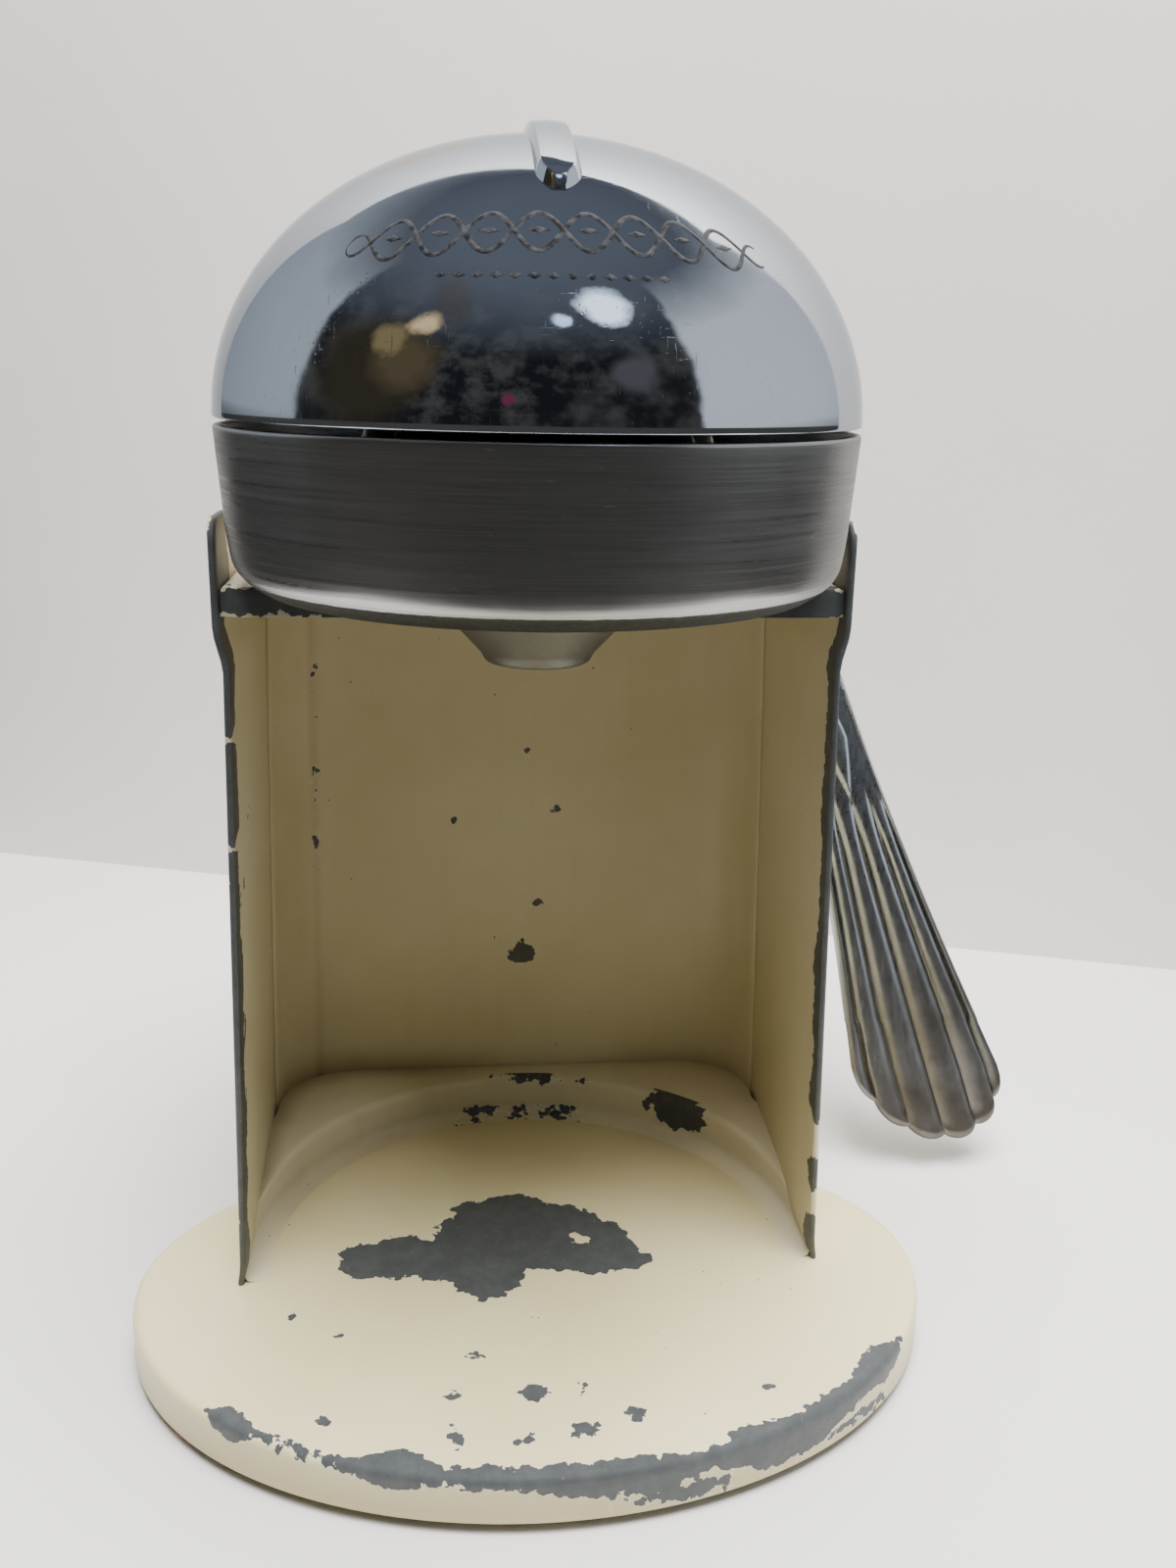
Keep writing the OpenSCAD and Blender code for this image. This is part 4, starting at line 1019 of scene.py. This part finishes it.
        z, s = np.meshgrid(rows, along, indexing="ij")
        edge = np.minimum.reduce([0.1 * (half_line - np.abs(s)), top - z, z - self.foot_z])
        spots = (Blob(-31.7, 114, 0.8, 1.9), Blob(2.4, 97.1, 1.0, 0.7), Blob(-14.1, 80.7, 1.1, 1.2),
                 Blob(9.5, 82.5, 1.9, 0.8), Blob(5.6, 60.6, 1.2, 1.3), Blob(1.8, 47.7, 3.1, 3.1),
                 Blob(-12, 71, 0.6, 0.5), Blob(20, 104, 0.5, 0.6), Blob(-3, 52, 0.7, 0.6))

        seam = (Blob(112, 0, 2.0, 0.45), Blob(104, 0.3, 2.6, 0.55), Blob(92, 0, 1.6, 0.6),
                Blob(87, 0, 0.8, 0.4), Blob(78, 0, 2.2, 0.4))

        def paint(points: Array, s: Array, side: int) -> dict[str, Array]:
            x, height = points[..., 0], points[..., 2] - self.foot_z
            crease = half_line - self.crease_s + s
            seam_spots = chip_field(seam, points[..., 2], crease)
            left_shade = smooth_step(-x, -20, 40)
            foot = np.exp(-((height - 8) / 4.5) ** 2)
            # darker at the foot and low down; the extra at the foot on the left, the dark line down the crease
            # at the left corner, which paints the seam's shadow, and the darkening towards the rounded corners
            # are painted shade
            stain = 0.08 + (0.12 + 0.42 * left_shade) * foot + 0.05 * np.exp(-height / 35) \
                + 0.22 * np.exp(-(crease / 0.8) ** 2) + 0.06 * smooth_step(np.abs(x), 36, 50)
            chips = np.minimum(chip_field(spots, x, points[..., 2]), seam_spots)
            return {"chip": chips, "stain": stain}

        patches = self.sheet(rows, line, along, edge, thickness, paint)
        add_piece("back_panel_sheet", patches, "stand", finish, Slot.PANEL, ["back_panel"])

    def make_shelf(self, finish: Material) -> None:
        """Builds the cup's shelf: a plate with a round hole and an edge rolled down all round."""
        half = self.half_w - self.sheet_t + self.flare - self.gap
        rear = self.box.high[1] - self.sheet_t - self.gap
        front = self.box.low[1] + 1.0
        radius = self.corner_r - self.sheet_t + self.flare - self.gap
        angle = full_turn(420)
        dx, dy = np.sin(angle), -np.cos(angle)
        outer = box_reach(dx, dy, half, rear, -front, radius)
        hole = np.minimum(self.shelf_hole_r, outer - 6)
        edge = round_profile([(3, 0, 0), (0, 0, 1.3), (0, -self.shelf_lip, 0.3),
                              (self.shelf_t, -self.shelf_lip, 0.3), (self.shelf_t, -self.shelf_t, 0.4),
                              (3, -self.shelf_t, 0)], 0.6)
        rim = round_profile([(1, -self.shelf_t, 0), (0, -self.shelf_t, 0.4), (0, 0, 0.4), (1, 0, 0)], 0.5)
        share = np.linspace(0, 1, 14)[1:-1, None]
        above = hole + 1 + (outer - 3 - hole - 1) * share
        radius_all = np.concatenate([hole + rim[:, :1], above, outer - edge[:, :1], above[::-1],
                                     hole + rim[:1, :1]])
        flat = np.zeros(len(share))
        height = np.concatenate([rim[:, 1], flat, edge[:, 1], flat - self.shelf_t, rim[:1, 1]])
        x, y = radius_all * dx, radius_all * dy
        z = self.shelf_z + height[:, None] + 0 * angle
        drop = self.shelf_z - z
        wander = np.sin(x / 1.9) + 0.6 * np.sin(x / 0.9 + 1)
        chip = np.where(y < front + 4, np.abs(drop - 2.4) - 2.4 - 0.5 * wander, NO_CHIP)
        values = {"chip": chip, "stain": 0.22 + 0 * z}
        add_piece("cup_shelf_plate", [Patch(xyz(x, y, z), True, values)],
                  "stand", finish, Slot.SHELF, ["cup_shelf"])


@dataclass
class Cup:
    """Spun aluminium cup with its cast spout and the ribbed reamer inside it."""

    box: NodeBox = field(default_factory=lambda: NodeBox.of("cup"))
    spout_box: NodeBox = field(default_factory=lambda: NodeBox.of("cup_spout"))
    reamer_box: NodeBox = field(default_factory=lambda: NodeBox.of("reamer"))
    low_r: float = 51.2
    foot_r: float = 45.4
    corner_h: float = 7.5
    wall: float = 1.8
    neck_r: float = 13.0
    ledge_h: float = 9.4
    sump_h: float = 3.4
    cast_h: float = 2.4
    reamer_r: float = 32.0
    reamer_ribs: int = 8

    def make_bowl(self, finish: Material) -> None:
        """Turns the bowl: a nearly straight wall, a rounded lower corner and a rolled rim."""
        rim_r = self.box.high[0]
        foot, rim = self.box.low[2], self.box.high[2]
        inner_r = self.low_r - self.wall
        profile = round_profile([
            (self.neck_r + 0.03, foot, 0), (self.foot_r, foot, 1.2), (self.low_r - 0.9, foot + 3.2, 4.2),
            (self.low_r, foot + self.corner_h + 1.5, 3), (rim_r, rim, 0.7), (rim_r - self.wall, rim, 0.7),
            (inner_r, foot + self.ledge_h, 0.5), (inner_r - 2, foot + self.ledge_h, 0.5),
            (inner_r - 6, foot + self.sump_h, 2),
            (self.neck_r + 0.03, foot + 2.08, 0), (self.neck_r + 0.03, foot, 0)], 1.2)
        cast = np.where((profile[:, 0] > self.neck_r) & (profile[:, 1] < foot + self.cast_h)
                        & (np.arange(len(profile)) < len(profile) * 0.5), 1.0, 0.0)
        add_piece("cup_bowl", [lathe(profile, 256, values={"cast": cast})], "stand", finish, Slot.CUP, ["cup"])

    def make_spout(self, finish: Material) -> None:
        """Turns the funnel and its mouth."""
        foot = self.box.low[2]
        low = self.spout_box.low[2]
        top_r = self.spout_box.high[0]
        profile = round_profile([
            (6.5, low + 0.2, 0), (6.9, low, 0.3), (9.0, low, 0.9), (9.7, low + 1.6, 2.0),
            (top_r - 1.4, foot - 2.2, 2.5),
            (top_r, foot - 0.03, 0.5), (self.neck_r, foot - 0.03, 0.2), (self.neck_r, foot + 2.05, 0.2),
            (6.6, foot + 1.8, 0.4), (6.5, low + 0.2, 0)], 0.9)
        add_piece("spout_funnel", [lathe(profile, 128)], "stand", finish, Slot.SPOUT, ["cup_spout"])

    def make_reamer(self, finish: Material) -> None:
        """Builds the reamer: an ogive whose radius swells and dips eight times a turn."""
        foot, tip = self.reamer_box.low[2], self.reamer_box.high[2]
        height = tip - foot
        rise = np.sin(np.linspace(0, np.pi / 2, 60)) * height
        angle = full_turn(240)
        radius = self.reamer_r * (1 - (rise / height) ** 2) ** 0.72
        ribs = np.abs(np.cos(self.reamer_ribs / 2 * angle)) ** 0.55
        fade = smooth_step(rise, 0, 5) * (1 - smooth_step(rise, height - 5, height))
        swell = 1 - (0.17 * fade)[:, None] * (1 - ribs)
        r = radius[:, None] * swell
        top = Patch(xyz(r * np.cos(angle), r * np.sin(angle), foot + rise[:, None]), True)
        under = np.linspace(1, 0, 6)[:, None] * r[:1]
        base = Patch(xyz(under * np.cos(angle), under * np.sin(angle), np.array(foot)), True)
        add_piece("reamer_cone", [top, base], "stand", finish, Slot.INSERT, ["reamer"])


@dataclass
class Head:
    """Chromed dome with its raised rib and an engraved border."""

    box: NodeBox = field(default_factory=lambda: NodeBox.of("dome"))
    radius: float = 52.5
    height: float = 43.0
    wall: float = 1.5
    rib_w: float = 6.8
    rib_h: float = 1.8
    rib_front: float = 36.0
    line_w: float = 0.85
    rope_r: float = 42.0
    rope_turn_deg: float = 42.0
    rope_swing: float = 2.3
    rope_waves: int = 20
    bead_r: float = 46.6

    @property
    def low(self) -> float:
        """Height of the dome's rim."""
        return self.box.low[2]

    def skin(self, x: Array, y: Array, proud: float | Array = 0.0) -> Array:
        """Height of the dome's outside over a point of the plan, or of a shell `proud` of it."""
        reach = 1 - (x * x + y * y) / (self.radius + proud) ** 2
        return self.low + (self.height + proud) * np.sqrt(np.maximum(reach, 0))

    def make_dome(self, finish: Material) -> None:
        """Turns the dome's shell from two quarter ellipses joined by a rounded rim."""
        turn = np.linspace(0, np.pi / 2, 72)[1:]
        inside = self.radius - self.wall
        outer = np.stack([self.radius * np.cos(turn), self.low + self.height * np.sin(turn)], axis=-1)
        inner_h = self.height - self.wall
        inner = np.stack([inside * np.cos(turn), self.low + inner_h * np.sin(turn)], axis=-1)
        rim = round_profile([(inside, self.low + 1, 0), (inside, self.low, 0.5), (self.radius, self.low, 0.5),
                             (self.radius, self.low + 1, 0)], 0.5)
        profile = np.concatenate([inner[::-1], rim, outer])
        shell = lathe(profile, 288)
        x, y, z = (shell.points[..., i] for i in range(3))
        label = Blob(-19, -18, 7.5, 2.6).distance(x, y) + np.where(z > 205, 0, NO_CHIP)
        smear = Blob(-14.5, 187.5, 2.2, 2.4).distance(x, z) + np.where(y < 0, 0, NO_CHIP)
        shell.values["residue"] = 0.8 * np.clip(0.6 - np.minimum(label, smear), 0, 1)
        add_piece("dome_shell", [shell], "head", finish, Slot.DOME, ["dome"])

    def make_rib(self, finish: Material) -> None:
        """Builds the raised rib: a bar with bevelled sides and a pointed front, laid on the dome."""
        rear = self.radius * math.sqrt(1 - (25 / self.height) ** 2)
        tip_end = -self.rib_front + 7
        y = np.concatenate([np.linspace(-self.rib_front, tip_end, 20), np.linspace(tip_end, rear, 110)[1:]])
        across = np.linspace(-1, 1, 29)
        point = np.clip((y + self.rib_front) / (0.62 * self.rib_w), 0, 1)
        half = self.rib_w / 2 * (1 - (1 - point) ** 1.9) ** (1 / 1.5)
        bevel = 1.0
        x = across[None, :] * half[:, None]
        inset = np.minimum((1 - np.abs(across))[None, :] * half[:, None], (y + self.rib_front)[:, None] * 0.8)
        rise = np.clip(inset / bevel, 0, 1)
        lift = np.where(rise < 1, 1 - (1 - rise) ** 1.6, 1.0)
        crown = 0.92 + 0.08 * np.cos(across * np.pi / 2)[None, :]
        y = y[:, None]
        proud = -0.4 + (self.rib_h + 0.35) * lift * crown
        top = xyz(x, y, self.skin(x, y, proud))
        under = xyz(x, y, self.skin(x, y, -0.4))
        add_piece("dome_rib", [Patch(top), Patch(under)], "head", finish, Slot.DOME, ["dome"], 30)

    def ribbon(self, x: Array, y: Array, width: float | Array) -> Patch:
        """A narrow strip that follows a line over the dome, its edges let into the plating.

        Args:
            x: Line's x places.
            y: Line's y places.
            width: Width of the strip, or its width at each point.

        Returns:
            A strip four points wide, just proud of the dome.
        """
        z = self.skin(x, y)
        line = xyz(x, y, z)
        run = np.gradient(line, axis=0)
        out = xyz(x / self.radius ** 2, y / self.radius ** 2, (z - self.low) / self.height ** 2)
        out /= np.linalg.norm(out, axis=-1, keepdims=True)
        side = np.cross(out, run)
        side /= np.linalg.norm(side, axis=-1, keepdims=True) + 1e-9
        spread = np.array([-0.5, -0.42, 0.42, 0.5]) * (np.zeros(len(x)) + width)[:, None]
        lift = np.array([-0.05, 0.03, 0.03, -0.05])
        return Patch(line[:, None] + side[:, None] * spread[..., None] + out[:, None] * lift[:, None])

    def make_border(self, finish: Material) -> None:
        """Engraves a plain rope border across the front: two waves in step, and a row of beads."""
        half_turn = np.radians(41)
        turn = np.linspace(-half_turn, np.radians(40), 560)
        ends = np.clip(1 - (np.abs(turn) / half_turn) ** 8, 0, 1) ** 0.5
        across = np.linspace(-1, 1, 15)

        def middle(at: Array | float) -> Array | float:
            return self.rope_r + 2.0 * (at / np.radians(self.rope_turn_deg)) ** 2

        def on_arc(radius: Array | float, at: Array, width: Array) -> Patch:
            return self.ribbon(radius * np.sin(at), -radius * np.cos(at), width)

        def lozenge(at: float, radius: float, length: float, width: float) -> Patch:
            return on_arc(radius, at + across * length / 2 / radius, width * (1.02 - np.abs(across)))

        waves = [self.rope_swing * ends * np.sin(turn * self.rope_waves + shift) for shift in (0.0, np.pi)]
        strips = [on_arc(middle(turn) + wave, turn, self.line_w * ends) for wave in waves]
        strips += [lozenge(eye, middle(eye), 3.0, 1.3) for eye in np.radians(9.0 * (np.arange(-4, 4) + 0.5))]
        strips += [lozenge(bead, self.bead_r, 1.9, 1.2) for bead in np.radians(np.linspace(-20.5, 16.5, 13))]
        add_piece("dome_border", strips, "head", finish, Slot.DOME, ["dome"], 60)


@dataclass
class Lever:
    """Cast lever: a fluted, scalloped blade on a round hub."""

    box: NodeBox = field(default_factory=lambda: NodeBox.of("handle"))
    shaft: NodeBox = field(default_factory=lambda: NodeBox.of("lever_shaft"))
    centre_x: float = 65.9
    length: float = 107.5
    end_r: float = 17.6
    root_r: float = 6.2
    lean: float = 0.276
    forward_deg: float = 17.5
    thick: float = 5.0
    hub_r: float = 9.0
    bands: int = 6

    def half(self, w: Array) -> Array:
        """Half width of the blade at a distance from the hub."""
        share = np.clip(w / self.length, 0, 1)
        return self.root_r + (self.end_r - self.root_r) * share ** 1.7

    def swing(self, u: Array, v: Array, w: Array) -> Array:
        """Turns blade coordinates (across, towards the front, down) into the upright press.

        Args:
            u: Distance across the blade, to the right.
            v: Distance out of the blade's front face.
            w: Distance down from the hub.

        Returns:
            Points in millimetres about the cup's axis.
        """
        hub_y = (self.shaft.low[1] + self.shaft.high[1]) / 2
        hub_z = (self.shaft.low[2] + self.shaft.high[2]) / 2
        tilt = math.radians(self.forward_deg)
        y = -v * math.cos(tilt) - w * math.sin(tilt)
        z = v * math.sin(tilt) - w * math.cos(tilt)
        return np.stack([self.centre_x + u, hub_y + y, hub_z + z], axis=-1)

    def make(self, finish: Material) -> None:
        """Builds the blade as sections that follow fan lines from the hub to the scalloped end.

        A section is a rounded rectangle. A fan line keeps its share u of the half width, so
        the bands between the flutes widen with the blade and each ends in its own scallop.
        """
        turn = full_turn(360)
        cosine, sine = np.cos(turn), np.sin(turn)
        u = np.sign(cosine) * np.abs(cosine) ** 0.75
        face = np.sign(sine) * np.abs(sine) ** 0.22
        fan = np.arcsin(np.clip(u, -1, 1))
        steps = np.concatenate([np.linspace(0, 0.93, 150), 1 - 0.07 * (1 - np.linspace(0, 1, 34)[1:]) ** 1.8])
        gaps = self.bands - 1
        scallop = np.abs(np.cos(fan / np.radians(75) * gaps * np.pi / 2 + np.pi / 2 * (gaps % 2)))
        end_r = self.end_r - 1.5 * (1 - scallop ** 0.7)
        end = self.length + end_r * np.cos(fan)
        w = steps[:, None] * end
        drawn_in = (1 - end_r / self.end_r) * smooth_step(w, self.length * 0.8, self.length)
        half = self.half(w) * np.where(w > self.length * 0.9, 1 - drawn_in, 1)
        across = half * np.sin(fan)
        to_end = end - w
        close = np.sqrt(1 - (1 - np.clip(to_end / 2.2, 0, 1)) ** 2)
        flute = np.clip(1 - scallop, 0, 1) ** 1.7
        fluted = smooth_step(w, 0.36 * self.length, 0.56 * self.length) * smooth_step(to_end, -2, 4)
        inside = np.clip((1 - np.abs(u)) / 0.10, 0, 1)
        thick = self.thick / 2 * (0.86 + 0.14 * np.cos(u * np.pi / 2))
        groove = (1.25 * flute + 0.22 * (1 - scallop)) * fluted * inside
        rim = 0.35 * np.exp(-(((np.abs(u) - 0.9) / 0.06) ** 2)) * (1 - fluted)
        front = thick - groove + rim * (w > 20)
        depth = np.where(sine >= 0, face * np.maximum(front, 0.6), face * thick) * close
        centre = self.lean * w
        blade = Patch(self.swing(centre + across, depth, w), True,
                      {"along": np.clip(w / (self.length + self.end_r), 0, 1),
                       "groove": np.clip(flute * fluted * inside * (sine > 0) * 1.2, 0, 1) ** 2})
        patches = [blade, self.hub_patch(), self.boss_patch()]
        add_piece("lever_blade", patches, "lever", finish, Slot.LEVER, ["handle"], 38)

    def hub_patch(self) -> Patch:
        """Turns the hub about the shaft, bored for it."""
        low, high = self.box.low[0], self.centre_x + 9
        centre = (self.shaft.low + self.shaft.high) / 2
        bore = (self.shaft.high[2] - self.shaft.low[2]) / 2 + 0.03
        profile = round_profile([(bore, low, 0), (self.hub_r, low, 1.2), (self.hub_r, high, 1.6),
                                 (bore, high, 0), (bore, low, 0)], 1.0)
        angle = full_turn(96)
        radius, place = profile[:, :1], profile[:, 1:]
        return Patch(xyz(place, centre[1] + radius * np.cos(angle), centre[2] + radius * np.sin(angle)), True)

    def boss_patch(self) -> Patch:
        """Raises a slim lozenge on the blade's front face below the hub."""
        middle, half_l, half_w = 30.0, 15.0, 3.4
        angle = full_turn(64)
        c, s = np.cos(angle), np.sin(angle)
        ring = 1 / (np.abs(c) ** 1.15 + np.abs(s) ** 1.15) ** (1 / 1.15)
        share = np.array([1.06, 1.0, 0.86, 0.7, 0.35, 0.0])[:, None]
        rise = np.array([-0.8, 0.25, 0.9, 1.1, 1.25, 1.3])[:, None]
        w = middle + share * ring * s * half_l
        across = self.lean * w + share * ring * c * half_w
        depth = self.thick / 2 - 0.1 + rise + 0 * angle
        return Patch(self.swing(across, depth, w), True, {"along": 0.2 + 0 * w})


# ---- Stage ----


@dataclass
class Studio:
    """Pale table and wall, soft light, and the camera."""

    camera_at: tuple[float, float, float] = (-17.35, -242.0, 179.4)
    heading_deg: float = 6.27
    down_deg: float = 16.29
    roll_deg: float = 1.12
    lens: float = 32.68
    wall_left: tuple[float, float] = (-181.8, 285.5)
    wall_right: tuple[float, float] = (214.0, 152.0)
    wall_h: float = 580.0

    def camera(self) -> None:
        """Places the camera in front of the press, a little above its cup and to the left."""
        data = bpy.data.cameras.new("view")
        data.lens = self.lens
        data.sensor_width = 36.0
        data.clip_start, data.clip_end = 0.01, 20.0
        eye = bpy.data.objects.new("view", data)
        bpy.context.scene.collection.objects.link(eye)
        turn = Matrix.Rotation(-math.radians(self.heading_deg), 4, "Z") \
            @ Matrix.Rotation(math.radians(90 - self.down_deg), 4, "X") \
            @ Matrix.Rotation(math.radians(self.roll_deg), 4, "Z")
        at = DATUM.place(np.array(self.camera_at))
        eye.matrix_world = Matrix.Translation(at.tolist()) @ turn
        bpy.context.scene.camera = eye

    def surface(self, name: str, corners: Array, colour: Colour, roughness: float) -> None:
        """Adds a flat stage surface with a faintly uneven paint, which is clear from behind.

        Args:
            name: Name of the surface.
            corners: Its four corners in millimetres about the cup's axis.
            colour: Its paint.
            roughness: How matt the paint is.
        """
        mesh = bpy.data.meshes.new(name)
        mesh.from_pydata(DATUM.place(corners).tolist(), [], [(0, 1, 2, 3)])
        plane = bpy.data.objects.new(name, mesh)
        bpy.context.scene.collection.objects.link(plane)
        s = Shader(name)
        cloud = s.ramp(s.noise(9, 4), 0.3, 0.7)
        s.set(Base_Color=s.mix(cloud, colour, shade(colour, 0.95)))
        s.set(Roughness=s.ramp(s.noise(60, 4), 0.3, 0.7, roughness - 0.06, roughness + 0.06))
        s.bump(s.noise(260, 5, 0.6), 0.12, 0.35)
        behind = s.add("ShaderNodeNewGeometry").outputs["Backfacing"]
        s.set(Alpha=s.math("SUBTRACT", 1.0, behind))
        mesh.materials.append(s.material)

    def room(self) -> None:
        """Adds the table top and the wall behind it, which stands at a slight angle."""
        self.surface("table", np.array([[-215, -90, 0], [250, -90, 0], [250, 420, 0], [-215, 420, 0]], float),
                     (0.80, 0.79, 0.765, 1), 0.45)
        left, right = np.array(self.wall_left), np.array(self.wall_right)
        run = right - left
        a, b = left - 0.3 * run, right + 0.22 * run
        corners = np.array([[*a, -1], [*b, -1], [*b, self.wall_h], [*a, self.wall_h]])
        self.surface("wall", corners, (0.76, 0.735, 0.715, 1), 0.75)

    def light(self, name: str, at: tuple[float, float, float], to: tuple[float, float, float],
              size: tuple[float, float], power: float, colour: tuple[float, float, float]) -> None:
        """Adds a rectangular soft light.

        Args:
            name: Name of the light.
            at: Its place in millimetres about the cup's axis.
            to: The point it faces.
            size: Its width and height in millimetres.
            power: Its power in watts.
            colour: Its tint.
        """
        data = bpy.data.lights.new(name, "AREA")
        data.shape = "RECTANGLE"
        data.size, data.size_y = size[0] * MM, size[1] * MM
        data.energy = power
        data.color = colour
        lamp = bpy.data.objects.new(name, data)
        lamp.visible_glossy = False
        bpy.context.scene.collection.objects.link(lamp)
        start, end = DATUM.place(np.array(at, float)), DATUM.place(np.array(to, float))
        facing = Vector((end - start).tolist()).to_track_quat("-Z", "Y").to_matrix().to_4x4()
        lamp.matrix_world = Matrix.Translation(start.tolist()) @ facing

    def world(self) -> None:
        """Fills the room: pale screens at the sides, a dim ceiling, and a dark room in front.

        Each screen starts at an upright plane through the press, given by its azimuth from
        the front, and ends at a height above the horizon. Lamps glow on the dark side.
        """
        world = bpy.data.worlds.new("room")
        bpy.context.scene.world = world
        world.use_nodes = True
        g = Graph(world.node_tree, "Generated")
        split = g.add("ShaderNodeSeparateXYZ")
        g.link(split.inputs[0], g.coords)
        x, y, z = split.outputs
        uneven = g.about_zero(g.noise(3.0, 4, 0.6), 0.5, 0.16)

        def beyond(azimuth_deg: float, side: float) -> Socket:
            a = math.radians(azimuth_deg)
            across = g.plus(g.mul(x, side * math.cos(a)), g.mul(y, math.sin(a)))
            return g.ramp(g.plus(across, uneven), -0.015, 0.02)

        below = g.ramp(g.plus(z, g.mul(uneven, 0.6)), 0.62, 0.86, 1, 0)
        above = g.ramp(z, -0.03, 0.03)
        left = g.mul(g.mul(beyond(93, -1), g.ramp(x, -0.02, 0.02, 1, 0)), below)
        right = g.mul(g.mul(beyond(52, 1), g.ramp(x, -0.02, 0.02)), below)
        clutter = g.mix(g.ramp(g.noise(5.5, 5, 0.7), 0.44, 0.62), (0.016, 0.017, 0.021, 1),
                        (0.085, 0.082, 0.078, 1))
        ceiling = g.mix(g.ramp(z, 0.5, 0.95), clutter, (0.16, 0.18, 0.22, 1))
        walls = g.mix(left, ceiling, (0.56, 0.61, 0.66, 1))
        walls = g.mix(right, walls, (0.86, 0.91, 0.96, 1))
        room = g.mix(above, (0.085, 0.083, 0.080, 1), walls)
        for azimuth, height, size, colour in (
                (-66, 20, 0.44, (0.050, 0.042, 0.028, 1)), (-52, 27, 0.26, (0.13, 0.10, 0.055, 1)),
                (-62, 33, 0.12, (0.32, 0.24, 0.12, 1)), (-50, 41, 0.11, (1.1, 0.82, 0.46, 1)),
                (27, 53, 0.16, (2.2, 2.5, 2.9, 1)), (7, 47, 0.05, (1.4, 1.7, 2.2, 1)),
                (30, 24, 0.16, (0.12, 0.12, 0.13, 1)), (10, 17, 0.03, (0.08, 0.08, 0.8, 1)),
                (-14, 13, 0.05, (0.22, 0.04, 0.10, 1))):
            a, e = math.radians(azimuth), math.radians(height)
            at = (math.sin(a) * math.cos(e), -math.cos(a) * math.cos(e), math.sin(e))
            toward = g.add("ShaderNodeVectorMath", operation="DISTANCE")
            g.link(toward.inputs[0], g.coords)
            toward.inputs[1].default_value = at
            spot = g.ramp(g.plus(toward.outputs["Value"], g.mul(uneven, 1.6)), size * 0.5, size, 1, 0)
            room = g.mix(spot, room, colour)
        back = g.tree.nodes["Background"]
        g.link(back.inputs[0], room)
        back.inputs[1].default_value = 1.0

    def make(self) -> None:
        """Sets the camera, the room and the lights."""
        self.camera()
        self.room()
        self.world()
        self.light("over", (70, -170, 860), (0, 10, 60), (640, 460), 23, (1.0, 0.985, 0.965))
        self.light("behind", (40, 130, 900), (0, 150, 60), (700, 300), 7, (1.0, 0.985, 0.965))


def dress_works() -> None:
    """Gives every CAD node that stays in view its own finish."""
    steel = PlatedSteel("works_steel").build()
    screws = PlatedSteel("screw_steel", (0.42, 0.42, 0.41, 1)).build()
    brass = PlatedSteel("bush_brass", (0.62, 0.44, 0.17, 1), (0.20, 0.12, 0.05, 1)).build()
    casting = CastMetal("insert_casting", (0.55, 0.55, 0.54, 1), 0.34, 1300).build()
    arm = Chrome("arm_plating", gloss=0.10, haze=0.14).build()
    rubber = Rubber("foot_rubber").build()
    finishes = {
        steel: ("gear_yoke", "rack_guide", "lever_shaft", "pinion", "rack", "hinge_block", "shaft_collar"),
        screws: ("foot_studs", "base_screws", "yoke_screws", "pinion_pin", "rack_pin", "hinge_pin",
                 "handle_washer", "handle_screw", "arm_rivets", "presser_screw"),
        brass: ("wall_bush",),
        casting: ("strainer", "reamer_rivet", "presser"),
        arm: ("head_arm",),
        rubber: ("rubber_feet",),
    }
    for material, names in finishes.items():
        for name in names:
            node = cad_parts[name]
            for index in range(len(node.material_slots)):
                node.material_slots[index].material = material
            LOG.info("%s: dressed as %s", name, material.name)


def main() -> None:
    """Builds the sub-assemblies in order and reports each piece."""
    logging.basicConfig(level=logging.INFO, format="%(name)s %(message)s")
    Studio().make()
    housing = Housing()
    base = Base()
    base.make(Enamel("base_enamel", cream=(0.74, 0.655, 0.37, 1), pale=(0.80, 0.725, 0.43, 1)).build())
    base.make_step(Enamel("step_enamel", streaks=0.05).build(), housing)
    housing.make_shell(Enamel("upright_enamel", streaks=0.04).build())
    housing.make_panel(Enamel("panel_enamel", streaks=0.04).build())
    housing.make_shelf(Enamel("shelf_enamel").build())
    cup = Cup()
    cup.make_bowl(BrushedMetal("cup_metal").build())
    cup.make_spout(CastMetal("spout_metal").build())
    cup.make_reamer(CastMetal("reamer_metal", (0.58, 0.58, 0.57, 1), 0.30, 1500).build())
    head = Head()
    plating = Chrome("dome_plating").build()
    head.make_dome(plating)
    head.make_rib(plating)
    head.make_border(EngravedLine("border_line").build())
    Lever().make(WornChrome("lever_plating").build())
    dress_works()


if __name__ == "__main__":
    main()
